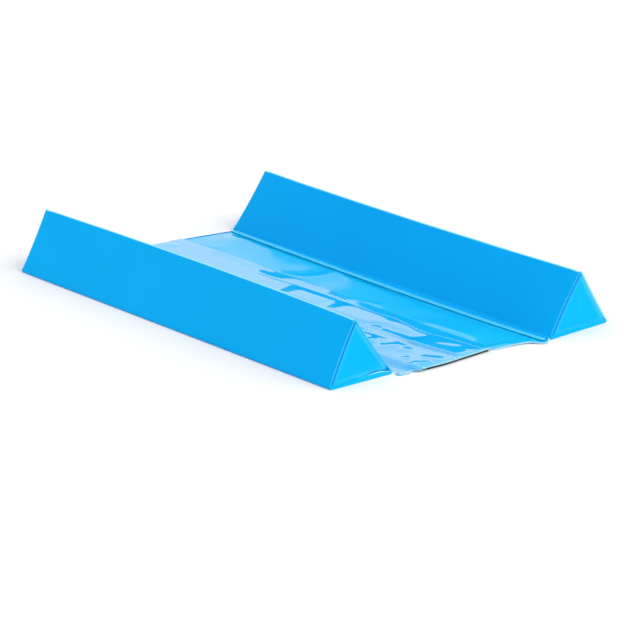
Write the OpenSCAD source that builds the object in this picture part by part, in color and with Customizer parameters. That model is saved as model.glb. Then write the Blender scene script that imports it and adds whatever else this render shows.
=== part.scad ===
// Wedge bolster positioner: two vinyl-covered foam prisms sewn along their inner edges
// to a sheet of two flaps, which lap in the middle and hold with hook-and-loop tape.
// X runs across the trough, Y along the bolsters, Z up from the floor.

/* [Bolsters] */
// Length of each bolster from end to end
bolster_len = 600; // [300:10:900]
// Width of a bolster across its base
bolster_w = 100; // [70:1:150]
// Height of a bolster from its base to its ridge
bolster_h = 78; // [55:1:120]
// Outward lean of the left ridge from the middle of its base
left_lean = 6; // [0:0.5:12]
// Outward lean of the right ridge from the middle of its base
right_lean = 2; // [0:0.5:12]
// Radius of the rounded long edges of a cover
edge_r = 3; // [3:0.5:8]

/* [Covers] */
// Thickness of the cover vinyl
cover_t = 1; // [0.6:0.1:1.3]
// Depth of an end panel's face inside the end of its wrap
end_recess = 1.5; // [0.5:0.5:5]
// Depth of the rim of an end panel that is turned in and sewn to the wrap
end_rim = 10; // [4:1:20]
// Clearance between the foam core and the end panels
core_gap = 0.2; // [0.1:0.1:0.4]

/* [Closing seams] */
// Width of the two cover lips that lie on the flap
lip_w = 8; // [5:0.5:9]
// Thickness of the woven binding folded over the lips
binding_t = 0.6; // [0.3:0.1:1]
// Clearance between the binding and what it lies against
binding_gap = 0.2; // [0.1:0.1:0.4]

/* [Sheet] */
// Thickness of the flap vinyl
flap_t = 1; // [0.6:0.1:1.6]
// Distance that each flap stops short of the bolsters' ends
flap_inset = 1; // [0:0.5:10]
// Width of the single layer between the left bolster and the lap
left_layer_w = 24; // [24:0.5:80]
// Width of the single layer between the lap and the right bolster
right_layer_w = 84.5; // [20:0.5:160]
// Slip of the left bolster along Y from the lap
left_skew = 35; // [0:1:60]
// Slip of the right bolster along Y from the lap, the other way
right_skew = 20; // [0:1:60]
// Room for the lap to slide narrower before the lower flap meets the rise of the upper flap
tuck_in = 5; // [2:0.5:6]
// Width of flat flap between a closing seam and the rise
rise_clearance = 1.4; // [0.5:0.1:3]
// Width of raised flap before the lower flap's free edge at the narrowest setting
rise_landing = 1; // [0.5:0.1:2]
// Clearance between a flap's sewn edge and the round of the cover
hinge_gap = 0.4; // [0.2:0.1:0.8]

/* [Hook-and-loop tape] */
// Width of each strip of tape
tape_w = 50; // [20:1:60]
// Space between the two strips on a flap
tape_gap = 2; // [1:0.5:6]
// Thickness of the woven backing
tape_base_t = 0.5; // [0.3:0.1:0.8]
// Height of the hooks or of the loops on the backing
pile_t = 1.2; // [0.8:0.1:2]
// Width of the bare edge that the stitches run in
selvedge = 3; // [1:0.5:6]
// Clearance between the hooks and the loops
pile_gap = 0.2; // [0.1:0.1:0.5]
// Distance from the upper flap's free edge to its outer strip
hook_margin = 13.5; // [5:0.5:16]
// Distance from the edge of the lap to the inner hook strip
hook_inner_margin = 1; // [0.5:0.5:4]
// Distance from the lower flap's free edge to its outer strip
loop_margin = 12.5; // [2:0.5:13]
// Distance that each strip stops short of the flap's ends
tape_inset = 1; // [0:0.5:10]

/* [Hidden] */
$fn = 32;
left = -1;
right = 1;

vinyl_blue = [0.0, 0.63, 0.92];
flap_blue = [0.15, 0.74, 0.97];
binding_blue = [0.55, 0.85, 0.96];
tape_black = [0.06, 0.08, 0.1];
foam_cream = [0.93, 0.9, 0.78];

// Across the sheet: left bolster, single layer, lap of both flaps, single layer, right bolster
strip_pitch = tape_w + tape_gap;
lap_w = hook_margin + tape_w + strip_pitch + hook_inner_margin;
gap = left_layer_w + lap_w + right_layer_w;
lap_left_x = -gap / 2 + left_layer_w;
lap_right_x = gap / 2 - right_layer_w;

// Along the sheet: the whole lies centred on Y = 0, with the two bolsters slipped opposite ways
lap_y = (right_skew - left_skew) / 2;
flap_len = bolster_len - 2 * flap_inset;
tape_len = flap_len - 2 * tape_inset;

// Up through the lap: lower flap, loop tape, hook tape, upper flap
tape_t = tape_base_t + pile_t;
loop_z = flap_t;
hook_z = loop_z + tape_t + pile_gap;
upper_z = hook_z + tape_t;

// Radii about the three edge lines of a bolster, from the cover's outside in to the foam
panel_r = edge_r - cover_t;
rim_inner_r = panel_r - cover_t;
core_r = rim_inner_r - core_gap;

// Up through a closing seam: flap, lower leg of the binding, two cover lips, upper leg of the binding
binding_z = flap_t + binding_gap;
lips_z = binding_z + binding_t;
lips_top = lips_z + 2 * cover_t;
seam_top = lips_top + binding_t;
seam_w = lip_w + binding_t;

// The sewn edge of a flap, measured into the bolster from its inner edge, follows the round of the cover
sewn_edge = edge_r - sqrt(pow(edge_r, 2) - pow(edge_r - flap_t, 2)) - hinge_gap;
rise_start = seam_w + rise_clearance;
rise_end = left_layer_w - tuck_in - rise_landing;

function lean(side) = side < 0 ? left_lean : right_lean;
function bolster_y(side) = side < 0 ? lap_y + left_skew : lap_y - right_skew;

// Edge lines of a bolster in its cross-section: X outwards from its inner edge, Y up from the floor
function inner_edge() = [edge_r, edge_r];
function outer_edge() = [bolster_w - edge_r, edge_r];
function ridge(side) = [bolster_w / 2 + lean(side), bolster_h - edge_r];

// The cross-section of a bolster at radius r about its edge lines
module bolster_section(side, r) {
    hull()
        for (edge = [inner_edge(), outer_edge(), ridge(side)])
            translate(edge)
                circle(r = r);
}

// A cross-section drawn along a bolster for a length, centred at a distance from the bolster's middle
module along_bolster(side, length, offset_y = 0) {
    mirror([side < 0 ? 1 : 0, 0, 0])
        translate([gap / 2, bolster_y(side) + offset_y, 0])
            rotate([90, 0, 0])
                linear_extrude(height = length, center = true)
                    children();
}

module foam_core(side) {
    core_len = bolster_len - 2 * (end_recess + cover_t + core_gap);
    color(foam_cream)
        along_bolster(side, core_len)
            bolster_section(side, core_r);
}

module cover_wrap(side) {
    color(vinyl_blue)
        difference() {
            along_bolster(side, bolster_len)
                bolster_section(side, edge_r);
            along_bolster(side, 2 * bolster_len)
                bolster_section(side, panel_r);
        }
}

// A panel across the end of a wrap, with its rim turned in along the wall
// end is -1 at the front and 1 at the rear
module end_panel(side, end) {
    face_y = end * (bolster_len / 2 - end_recess - cover_t / 2);
    rim_y = end * (bolster_len / 2 - end_recess - end_rim / 2);
    color(vinyl_blue)
        union() {
            along_bolster(side, cover_t, face_y)
                bolster_section(side, panel_r);
            along_bolster(side, end_rim, rim_y)
                difference() {
                    bolster_section(side, panel_r);
                    bolster_section(side, rim_inner_r);
                }
        }
}

// The two lips of a wrap's closing seam, sewn together and turned towards the trough over the flap
module seam_lips(side) {
    color(vinyl_blue)
        along_bolster(side, bolster_len)
            translate([-lip_w, lips_z])
                square([lip_w - binding_gap, lips_top - lips_z]);
}

// A tape folded over the lips, open towards the bolster
module seam_binding(side) {
    color(binding_blue)
        along_bolster(side, bolster_len)
            polygon([
                [-seam_w, binding_z],
                [-binding_gap, binding_z],
                [-binding_gap, lips_z],
                [-lip_w, lips_z],
                [-lip_w, lips_top],
                [-binding_gap, lips_top],
                [-binding_gap, seam_top],
                [-seam_w, seam_top]
            ]);
}

// The plan of a flap through points [x, y], each the middle of the flap's length at that x
module flap_plan(middles) {
    last = len(middles) - 1;
    polygon(concat(
        [for (m = middles) m - [0, flap_len / 2]],
        [for (i = [last:-1:0]) middles[i] + [0, flap_len / 2]]
    ));
}

module upper_flap() {
    sewn_x = -gap / 2 - sewn_edge;
    underside = [
        [sewn_x, 0],
        [-gap / 2 + rise_start, 0],
        [-gap / 2 + rise_end, upper_z],
        [lap_right_x, upper_z]
    ];
    topside = [for (i = [len(underside) - 1:-1:0]) underside[i] + [0, flap_t]];
    color(flap_blue)
        intersection() {
            linear_extrude(height = upper_z + flap_t)
                flap_plan([[sewn_x, bolster_y(left)], [lap_left_x, lap_y], [lap_right_x, lap_y]]);
            rotate([90, 0, 0])
                linear_extrude(height = 2 * bolster_len, center = true)
                    polygon(concat(underside, topside));
        }
}

module lower_flap() {
    sewn_x = gap / 2 + sewn_edge;
    color(flap_blue)
        linear_extrude(height = flap_t)
            flap_plan([[lap_left_x, lap_y], [lap_right_x, lap_y], [sewn_x, bolster_y(right)]]);
}

// A strip of tape from its low-X edge: woven backing below, the field of hooks or loops above
module tape_strip() {
    translate([0, lap_y, 0])
        rotate([90, 0, 0])
            linear_extrude(height = tape_len, center = true) {
                square([tape_w, tape_base_t]);
                translate([selvedge, tape_base_t])
                    square([tape_w - 2 * selvedge, pile_t]);
            }
}

// A strip on the upper flap, counted from its free edge, with the hooks downwards
module hook_strip(index) {
    color(tape_black)
        translate([lap_right_x - hook_margin - tape_w - index * strip_pitch, 0, upper_z])
            mirror([0, 0, 1])
                tape_strip();
}

// A strip on the lower flap, counted from its free edge, with the loops upwards
module loop_strip(index) {
    color(tape_black)
        translate([lap_left_x + loop_margin + index * strip_pitch, 0, loop_z])
            tape_strip();
}

foam_core(left);  // left_foam_core
cover_wrap(left);  // left_cover_wrap
end_panel(left, -1);  // left_front_end_panel
end_panel(left, 1);  // left_rear_end_panel
seam_lips(left);  // left_seam_lips
seam_binding(left);  // left_seam_binding
foam_core(right);  // right_foam_core
cover_wrap(right);  // right_cover_wrap
end_panel(right, -1);  // right_front_end_panel
end_panel(right, 1);  // right_rear_end_panel
seam_lips(right);  // right_seam_lips
seam_binding(right);  // right_seam_binding
upper_flap();
hook_strip(1);  // left_hook_strip
hook_strip(0);  // right_hook_strip
lower_flap();
loop_strip(0);  // left_loop_strip
loop_strip(1);  // right_loop_strip
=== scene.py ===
"""Dresses the wedge bolster positioner: vinyl covers, bound seams, glossy flaps, tape and stitching."""
import math
from collections import namedtuple

import bpy
import numpy as np
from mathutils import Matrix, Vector, noise


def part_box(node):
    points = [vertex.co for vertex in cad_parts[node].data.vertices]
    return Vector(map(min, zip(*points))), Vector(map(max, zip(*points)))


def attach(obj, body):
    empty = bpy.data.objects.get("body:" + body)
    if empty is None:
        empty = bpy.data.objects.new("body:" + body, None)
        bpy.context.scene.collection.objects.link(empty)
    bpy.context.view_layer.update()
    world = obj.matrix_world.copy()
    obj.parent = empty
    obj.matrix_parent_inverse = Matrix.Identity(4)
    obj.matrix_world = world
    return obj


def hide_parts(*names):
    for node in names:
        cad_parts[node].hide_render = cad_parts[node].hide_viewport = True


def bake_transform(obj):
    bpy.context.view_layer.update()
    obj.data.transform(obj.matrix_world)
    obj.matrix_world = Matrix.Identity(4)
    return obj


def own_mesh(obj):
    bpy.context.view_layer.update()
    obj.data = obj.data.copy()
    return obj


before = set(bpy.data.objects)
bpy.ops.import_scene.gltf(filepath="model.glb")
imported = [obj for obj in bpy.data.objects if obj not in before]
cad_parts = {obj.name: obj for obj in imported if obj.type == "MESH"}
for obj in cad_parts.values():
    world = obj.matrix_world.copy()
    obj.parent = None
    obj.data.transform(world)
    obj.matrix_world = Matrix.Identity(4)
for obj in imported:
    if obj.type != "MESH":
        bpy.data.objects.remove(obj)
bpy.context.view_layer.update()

bl_info = {
    "name": "Wedge Bolster Positioner",
    "version": (1, 0, 0),
    "blender": (4, 5, 0),
    "location": "View3D > Sidebar > Positioner",
    "description": "Makes the covers, seams, flaps, tape and stitching of a wedge bolster positioner",
    "category": "Add Mesh",
}

MM = 0.001
SIDES = ("left", "right")
# The ends of a bolster or a flap, and the way along Y that each one faces.
OUTWARD = {"front": -1.0, "rear": 1.0}
UP = (0.0, 0.0, 1.0)


def cad_mm(node):
    """The lowest and highest corners of a CAD node, in millimetres."""
    low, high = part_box(node)
    return np.array(low) / MM, np.array(high) / MM


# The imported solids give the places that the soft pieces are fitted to.
WRAP_BOX = {side: cad_mm(f"{side}_cover_wrap") for side in SIDES}
CORE_BOX = {side: cad_mm(f"{side}_foam_core") for side in SIDES}
BINDING_BOX = {side: cad_mm(f"{side}_seam_binding") for side in SIDES}
UPPER_BOX = cad_mm("upper_flap")
LOWER_BOX = cad_mm("lower_flap")
HOOK_BOX = {side: cad_mm(f"{side}_hook_strip") for side in SIDES}
LOOP_BOX = {side: cad_mm(f"{side}_loop_strip") for side in SIDES}

BOLSTER_LENGTH = WRAP_BOX["left"][1][1] - WRAP_BOX["left"][0][1]
BOLSTER_HEIGHT = WRAP_BOX["left"][1][2]
# Each flap across the trough, between its sewn and its free edge, and where the tape of the lap begins.
UPPER_SEWN, UPPER_FREE = UPPER_BOX[0][0], UPPER_BOX[1][0]
LOWER_FREE, LOWER_SEWN = LOWER_BOX[0][0], LOWER_BOX[1][0]
TAPE_START = HOOK_BOX["left"][0][0]
# The flaps run past their tape at each end, in mm.
TAPE_MARGIN = 1.0
FLAP_LENGTH = HOOK_BOX["left"][1][1] - HOOK_BOX["left"][0][1] + 2 * TAPE_MARGIN
LAP_Y = (HOOK_BOX["left"][0][1] + HOOK_BOX["left"][1][1]) / 2


# Settings

def length_prop(name, description, default):
    """A length in metres, given here in millimetres."""
    return bpy.props.FloatProperty(name=name, description=description, default=default * MM,
                                   min=0.0, precision=5, unit="LENGTH")


def colour_prop(name, description, default):
    return bpy.props.FloatVectorProperty(name=name, description=description, default=default,
                                         size=3, min=0.0, max=1.0, subtype="COLOR")


class CoverSizes(bpy.types.PropertyGroup):
    base_width: length_prop("Base width", "Width of a bolster across its base", 100)
    left_lean: length_prop("Left lean", "Outward lean of the left ridge", 6)
    right_lean: length_prop("Right lean", "Outward lean of the right ridge", 2)
    edge_radius: length_prop("Edge radius", "Radius of the long edges of a cover", 3)
    crown: length_prop("Crown", "Swell of the outer faces over the foam", 1.0)
    left_hollow: length_prop("Left hollow", "How far the left inner face draws in to the foam", 1.0)
    right_hollow: length_prop("Right hollow", "How far the right inner face draws in to the foam", 0.0)
    left_ridge_sway: length_prop("Left ridge sway", "How far the left ridge leans in at its middle", 6)
    right_ridge_sway: length_prop("Right ridge sway", "How far the right ridge leans in at its middle", 6)
    right_edge_sway: length_prop("Right edge sway", "How far the sheet draws in the right inner edge", 2)
    wrap_roll: length_prop("Wrap roll", "Radius of the turned end of a wrap", 1.1)
    groove: length_prop("Groove", "Width of the seam between a wrap and an end panel", 1.3)
    panel_roll: length_prop("Panel roll", "Width of the puffed edge of an end panel", 6.0)
    panel_drop: length_prop("Panel drop", "Depth of the puffed edge of an end panel", 2.2)
    panel_crown: length_prop("Panel crown", "Swell of an end panel", 0.9)
    tuck: length_prop("Tuck", "Turn-up of the base at the left front end", 3.4)
    seam_pull: length_prop("Seam pull", "How far the end seams draw the wrap in", 0.5)


class SheetSizes(bpy.types.PropertyGroup):
    vinyl: length_prop("Vinyl", "Thickness of the flap vinyl", 1.0)
    pillow: length_prop("Pillow", "Height of the flat pillows of the upper flap between its rows", 1.5)
    wave: length_prop("Wave", "Height of the long wave of the lower flap", 4.6)
    pucker: length_prop("Pucker", "Height of the small gathers beside a stitch row", 0.06)
    stitch_pitch: length_prop("Stitch pitch", "Distance from stitch to stitch", 3.9)
    stitch_length: length_prop("Stitch length", "Length of thread that shows in a stitch", 1.6)
    thread: length_prop("Thread", "Radius of the sewing thread", 0.33)
    hem: length_prop("Hem", "Radius of the rolled front hems", 1.1)


class Finishes(bpy.types.PropertyGroup):
    cover: colour_prop("Cover", "Satin vinyl of the bolsters", (0.0, 0.405, 0.88))
    flap: colour_prop("Flap", "Glossy vinyl of the upper flap", (0.0, 0.455, 0.86))
    lower: colour_prop("Lower flap", "Softer gloss of the lower flap", (0.0, 0.5, 0.9))
    binding: colour_prop("Binding", "Woven tape over the seams", (0.02, 0.6, 1.0))
    # The seam colour is painted shade: it darkens the grooves of the end seams and the rear hems.
    seam: colour_prop("Seam", "Cord in the end seams", (0.0, 0.23, 0.56))
    # The hem colour is a painted highlight: the front hems are painted pale.
    hem: colour_prop("Hem", "Pale turned hems of the flaps", (0.3, 0.62, 0.76))
    # The pleat colour is a painted highlight on the fold of the turned-up base.
    pleat: colour_prop("Pleat", "Turned-up base of the left front end", (0.14, 0.74, 1.0))
    thread: colour_prop("Thread", "Sewing thread of the flaps", (0.66, 0.92, 1.0))
    overcast: colour_prop("Overcast", "Thread over the bound seams", (0.22, 0.85, 1.0))
    tape: colour_prop("Tape", "Hook and loop tape", (0.006, 0.016, 0.022))
    foam: colour_prop("Foam", "Foam cores", (0.84, 0.78, 0.58))
    floor: colour_prop("Floor", "Studio floor", (0.9, 0.9, 0.9))


class StageSettings(bpy.types.PropertyGroup):
    azimuth: bpy.props.FloatProperty(name="Azimuth", description="Camera azimuth", subtype="ANGLE",
                                     default=math.radians(-42.2775))
    elevation: bpy.props.FloatProperty(name="Elevation", description="Camera elevation", subtype="ANGLE",
                                       default=math.radians(19.2558))
    distance: bpy.props.FloatProperty(name="Distance", description="Camera distance from its target",
                                      default=3.8485, unit="LENGTH")
    target: bpy.props.FloatVectorProperty(name="Target", description="Point that the camera looks at",
                                          default=(-0.2583, -0.3084, 0.1085), subtype="XYZ")
    lens: bpy.props.FloatProperty(name="Lens", description="Focal length in millimetres", default=185.6)
    ambient: bpy.props.FloatProperty(name="Ambient", description="Strength of the light from all round",
                                     default=0.92)
    key: bpy.props.FloatProperty(name="Key", description="Strength of the soft light at the front",
                                 default=1.55)
    softness: bpy.props.FloatProperty(name="Softness", description="Width of the soft light",
                                      subtype="ANGLE", default=math.radians(60))


class PositionerSettings(bpy.types.PropertyGroup):
    covers: bpy.props.PointerProperty(type=CoverSizes)
    sheet: bpy.props.PointerProperty(type=SheetSizes)
    finishes: bpy.props.PointerProperty(type=Finishes)
    stage: bpy.props.PointerProperty(type=StageSettings)


def settings():
    return bpy.context.scene.positioner


# Mesh helpers

MERGE_DISTANCE = 1e-6


def deselect():
    if bpy.context.object and bpy.context.object.mode != "OBJECT":
        bpy.ops.object.mode_set(mode="OBJECT")
    bpy.ops.object.select_all(action="DESELECT")


def pick(piece):
    deselect()
    piece.select_set(True)
    bpy.context.view_layer.objects.active = piece


def clean(piece):
    """Merges points that coincide, and turns the faces outwards."""
    pick(piece)
    bpy.ops.object.mode_set(mode="EDIT")
    bpy.ops.mesh.select_all(action="SELECT")
    bpy.ops.mesh.remove_doubles(threshold=MERGE_DISTANCE)
    bpy.ops.mesh.normals_make_consistent(inside=False)
    bpy.ops.object.mode_set(mode="OBJECT")


def dress(piece, surface, smooth_below=None):
    """Puts one finish on a piece, and shades it smooth across edges below an angle in degrees."""
    piece.data.materials.clear()
    piece.data.materials.append(finish(surface))
    if smooth_below:
        pick(piece)
        bpy.ops.object.shade_smooth_by_angle(angle=math.radians(smooth_below))


def mesh_piece(name, points, faces, surface, smooth_below=60, sheen=None):
    """A new dressed object from points in millimetres. A painted highlight, where given, is how much lighter
    each point is painted, from 0 to 1."""
    mesh = bpy.data.meshes.new(name)
    mesh.from_pydata((np.asarray(points) * MM).tolist(), [], faces)
    if sheen is not None:
        mesh.attributes.new("sheen", "FLOAT", "POINT").data.foreach_set("value", sheen)
    piece = bpy.data.objects.new(name, mesh)
    bpy.context.scene.collection.objects.link(piece)
    clean(piece)
    dress(piece, surface, smooth_below)
    return piece


def grid_piece(name, columns, rows):
    """A new flat grid of one unit, as the active object."""
    deselect()
    bpy.ops.mesh.primitive_grid_add(x_subdivisions=columns, y_subdivisions=rows, size=1.0)
    piece = bpy.context.object
    piece.name = piece.data.name = name
    return piece


def grid_points(piece):
    """The points of a grid: shares of its width and its length from 0 to 1, and its height."""
    return np.array([v.co[:] for v in piece.data.vertices]) + (0.5, 0.5, 0.0)


def move_points(piece, x, y, z):
    """Puts the points of a piece at places in millimetres."""
    piece.data.vertices.foreach_set("co", (np.column_stack((x, y, z)) * MM).ravel())
    piece.data.update()


def ring_faces(rings, count, loop=False):
    """Quads between consecutive rings of count points each, and in a loop from the last to the first."""
    faces = []
    for ring in range(rings if loop else rings - 1):
        here, after = ring * count, (ring + 1) % rings * count
        for i in range(count):
            j = (i + 1) % count
            faces.append((here + i, here + j, after + j, after + i))
    return faces


def tube_faces(rings, count):
    """The faces of a tube through rings of count points each, with a cap at both ends."""
    last = (rings - 1) * count
    caps = [tuple(range(count)), tuple(reversed(range(last, last + count)))]
    return ring_faces(rings, count) + caps


# Curves that shape the soft pieces

def fade(value, low, high):
    """0 below low, 1 above high, smooth between."""
    t = np.clip((np.asarray(value, dtype=float) - low) / (high - low), 0.0, 1.0)
    return t * t * (3 - 2 * t)


def fades(value, rows):
    """The sum of heights that come in over stretches: height, start, end."""
    return sum(height * fade(value, start, end) for height, start, end in rows)


def hump(value, place, spread):
    """1 at a place, and falling off to 0 on both sides of it."""
    return np.exp(-((value - place) / spread) ** 2)


def humps(value, rows):
    """The sum of humps of their own heights: height, place, spread."""
    return sum(height * hump(value, place, spread) for height, place, spread in rows)


def wobble(*place):
    """Smooth noise about 0 at a place of three numbers."""
    return noise.noise(Vector(place))


def ripple(x, y, scale, seed):
    """Smooth noise about 0 at points in millimetres, for arrays of the same shape."""
    values = [wobble(a / scale, b / scale, seed) for a, b in zip(np.ravel(x), np.ravel(y))]
    return np.array(values).reshape(np.shape(x))


def streaks(x, y, slant, squeeze, scale, seed):
    """Smooth noise drawn out along a slant, given as shares of X and Y."""
    return ripple(x * slant[0] + y * slant[1], (x * slant[1] - y * slant[0]) * squeeze, scale, seed)


# Materials

# Places of the colour sockets of a Mix node, which share their names with other sockets.
MIX_FACTOR, MIX_COLOUR_A, MIX_COLOUR_B, MIX_COLOUR = 0, 6, 7, 2
# Period of a wave texture of scale 1, in metres.
WAVE_PERIOD = math.pi / 10
# Colour of the highlight painted along the turned edges and the ridge of a cover.
PAINTED_HIGHLIGHT_COLOUR = (0.42, 0.9, 1.0)


class Finish:
    """A node material built on one Principled shader, with patterns on Object coordinates."""

    def __init__(self, name, colour, roughness, **sockets):
        self.material = bpy.data.materials.new(name)
        self.material.use_nodes = True
        self.tree = self.material.node_tree
        self.shader = self.tree.nodes["Principled BSDF"]
        self.colour = tuple(colour)
        self.shader.inputs["Base Color"].default_value = (*self.colour, 1.0)
        self.shader.inputs["Roughness"].default_value = roughness
        for socket, value in sockets.items():
            self.shader.inputs[socket.replace("_", " ")].default_value = value
        self.place = self.node("ShaderNodeTexCoord").outputs["Object"]

    def node(self, kind, **values):
        made = self.tree.nodes.new(kind)
        for key, value in values.items():
            if key in made.inputs:
                made.inputs[key].default_value = value
            else:
                setattr(made, key, value)
        return made

    def link(self, start, end):
        self.tree.links.new(start, end)

    def noise(self, scale, detail=3.0, stretch=None):
        """A noise pattern, which may be drawn out along an axis."""
        made = self.node("ShaderNodeTexNoise", Scale=scale, Detail=detail)
        place = self.place
        if stretch:
            mapping = self.node("ShaderNodeMapping", Scale=stretch)
            self.link(place, mapping.inputs["Vector"])
            place = mapping.outputs["Vector"]
        self.link(place, made.inputs["Vector"])
        return made.outputs["Fac"]

    def weave(self, pitch):
        """Crossing threads at a pitch in metres, 0 between threads to 1 on them."""
        mix = self.node("ShaderNodeMath", operation="MULTIPLY")
        for socket, direction in enumerate("XY"):
            wave = self.node("ShaderNodeTexWave", wave_type="BANDS", bands_direction=direction,
                             Scale=WAVE_PERIOD / pitch, Distortion=0.4)
            self.link(self.place, wave.inputs["Vector"])
            self.link(wave.outputs["Fac"], mix.inputs[socket])
        return mix.outputs[0]

    def tint(self, source, dark, light, low=0.35, high=0.65):
        """Base colour from dark to light times the finish's own colour, along a pattern."""
        ramp = self.node("ShaderNodeValToRGB")
        for element, place, level in zip(ramp.color_ramp.elements, (low, high), (dark, light)):
            element.position = place
            element.color = (*(min(1.0, c * level) for c in self.colour), 1.0)
        self.link(source, ramp.inputs["Fac"])
        self.link(ramp.outputs["Color"], self.shader.inputs["Base Color"])

    def lighten(self, attribute, colour):
        """Mixes the base colour towards a lighter one where a mesh attribute says so, which paints a
        highlight.
        """
        base = self.shader.inputs["Base Color"]
        mix = self.node("ShaderNodeMix", data_type="RGBA")
        amount = self.node("ShaderNodeAttribute", attribute_name=attribute)
        self.link(amount.outputs["Fac"], mix.inputs[MIX_FACTOR])
        self.link(base.links[0].from_socket, mix.inputs[MIX_COLOUR_A])
        mix.inputs[MIX_COLOUR_B].default_value = (*colour, 1.0)
        self.link(mix.outputs[MIX_COLOUR], base)

    def vary_roughness(self, source, low, high):
        span = self.node("ShaderNodeMapRange")
        span.inputs["To Min"].default_value = low
        span.inputs["To Max"].default_value = high
        self.link(source, span.inputs["Value"])
        self.link(span.outputs["Result"], self.shader.inputs["Roughness"])

    def bump(self, source, strength, distance):
        made = self.node("ShaderNodeBump", Strength=strength, Distance=distance)
        self.link(source, made.inputs["Height"])
        self.link(made.outputs["Normal"], self.shader.inputs["Normal"])


def satin_cover_vinyl(colour):
    made = Finish("satin_cover_vinyl", colour, roughness=0.46, Specular_IOR_Level=0.04)
    made.tint(made.noise(scale=7.0, detail=4.0), dark=0.97, light=1.03)
    # Painted highlight along a cover's turned ends and its ridge.
    made.lighten("sheen", PAINTED_HIGHLIGHT_COLOUR)
    made.vary_roughness(made.noise(scale=60.0), low=0.42, high=0.52)
    made.bump(made.noise(scale=1400.0, detail=2.0), strength=0.25, distance=0.00012)
    return made


def gloss_vinyl(name, colour, roughness, grain, **sockets):
    """Coated vinyl, faintly clouded, with a soft grain."""
    made = Finish(name, colour, roughness, **sockets)
    made.tint(made.noise(scale=9.0, detail=3.0), dark=0.97, light=1.03)
    made.bump(made.noise(scale=grain, detail=1.0), strength=0.3, distance=0.0001)
    return made


def glossy_flap_vinyl(colour):
    return gloss_vinyl("glossy_flap_vinyl", colour, roughness=0.09, grain=160.0, Specular_IOR_Level=0.4,
                       Coat_Weight=1.0, Coat_Roughness=0.04, Coat_IOR=1.65)


def soft_gloss_vinyl(colour):
    return gloss_vinyl("soft_gloss_vinyl", colour, roughness=0.3, grain=120.0, Specular_IOR_Level=0.08,
                       Coat_Weight=0.9, Coat_Roughness=0.07, Coat_IOR=1.42)


def woven_binding(colour):
    made = Finish("woven_binding", colour, roughness=0.72, Specular_IOR_Level=0.3)
    threads = made.weave(pitch=0.0009)
    made.tint(threads, dark=0.85, light=1.12, low=0.1, high=0.7)
    made.bump(threads, strength=0.5, distance=0.0002)
    return made


def grained(name, colour, roughness, specular, grain, tint, bump):
    """A material with one grain, as scale and detail. The grain tints it, from dark to light and where
    given from a low to a high place, and it stands out as a bump of a strength and a distance."""
    made = Finish(name, colour, roughness, Specular_IOR_Level=specular)
    pattern = made.noise(*grain)
    made.tint(pattern, *tint)
    made.bump(pattern, *bump)
    return made


# Vinyl of the front hems and the pleat, painted pale as a highlight.
def hem_vinyl(colour, name="hem_vinyl"):
    return grained(name, colour, roughness=0.3, specular=0.5, grain=(420.0, 2.0),
                   tint=(0.8, 1.06), bump=(0.5, 0.0003))


def pleat_vinyl(colour):
    return hem_vinyl(colour, "pleat_vinyl")


# Dark cord vinyl, whose colour is painted shade in the end seams and on the rear hems.
def seam_cord(colour):
    return grained("seam_cord", colour, roughness=0.6, specular=0.15, grain=(900.0, 2.0),
                   tint=(0.8, 1.15), bump=(0.5, 0.0002))


def sewing_thread(colour, name="sewing_thread"):
    drawn_out = (1.0, 0.35, 1.0)
    return grained(name, colour, roughness=0.5, specular=0.4, grain=(2600.0, 2.0, drawn_out),
                   tint=(0.82, 1.08), bump=(0.5, 0.0001))


def overcast_thread(colour):
    return sewing_thread(colour, "overcast_thread")


def fastener_tape(colour):
    return grained("fastener_tape", colour, roughness=0.85, specular=0.25, grain=(1500.0, 6.0),
                   tint=(0.5, 2.2, 0.3, 0.75), bump=(0.9, 0.0006))


def cut_foam(colour):
    return grained("cut_foam", colour, roughness=0.9, specular=0.2, grain=(900.0, 5.0),
                   tint=(0.8, 1.06), bump=(0.8, 0.0005))


def floor_card(colour):
    made = Finish("floor_card", colour, roughness=0.95, Specular_IOR_Level=0.0)
    made.tint(made.noise(scale=3.0), dark=0.995, light=1.005)
    return made


MAKERS = {
    "cover": satin_cover_vinyl, "flap": glossy_flap_vinyl, "lower": soft_gloss_vinyl,
    "binding": woven_binding, "seam": seam_cord, "hem": hem_vinyl, "pleat": pleat_vinyl,
    "thread": sewing_thread, "overcast": overcast_thread, "tape": fastener_tape,
    "foam": cut_foam, "floor": floor_card,
}
FINISHES = {}


def finish(name):
    """The material of a finish, made once."""
    if name not in FINISHES:
        FINISHES[name] = MAKERS[name](getattr(settings().finishes, name)).material
    return FINISHES[name]


# The bolsters

# How far each corner of an end stands out: inner edge, outer edge, ridge, and the length over which that
# fades along the bolster, in mm.
END_REACH = {
    ("left", "front"): (11.5, 3.5, 0.5), ("left", "rear"): (0.0, 0.0, 0.0),
    ("right", "front"): (0.0, 1.5, 0.0), ("right", "rear"): (4.0, 0.0, -5.0),
}
REACH_LENGTH = 45.0
# How far the seams of an end draw in between its corners, in mm.
END_HOLLOW = 1.7
# The end whose base is turned up at its inner corner, how high that corner's reach goes, and how far the
# corner is drawn under the bolster and for what length, in mm.
TUCKED_END = ("left", "front")
TUCK_HEIGHT = 8.0
TUCK_DRAW = 5.0
TUCK_LENGTH = 32.0
# The turn-up itself, in mm: its height, where it runs out along the base and where it comes in from the
# corner, and its share at the very corner.
TURN_UP_HEIGHT = 16.0
TURN_UP_RUNOUT = (40.0, 92.0)
TURN_UP_START = (3.0, 28.0)
CORNER_SHARE = 0.35
# Heights over which an end leaves the base, and half the width over which left turns into right, in mm.
OFF_BASE = (3.0, 9.0)
RIDGE_BLEND = 3.0
# Corner radii of a wrap's end and of a foam block, in mm, and the rings along the foam.
RING_RADIUS = 3.0
FOAM_CORNER = 1.5
FOAM_RINGS = 24


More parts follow.
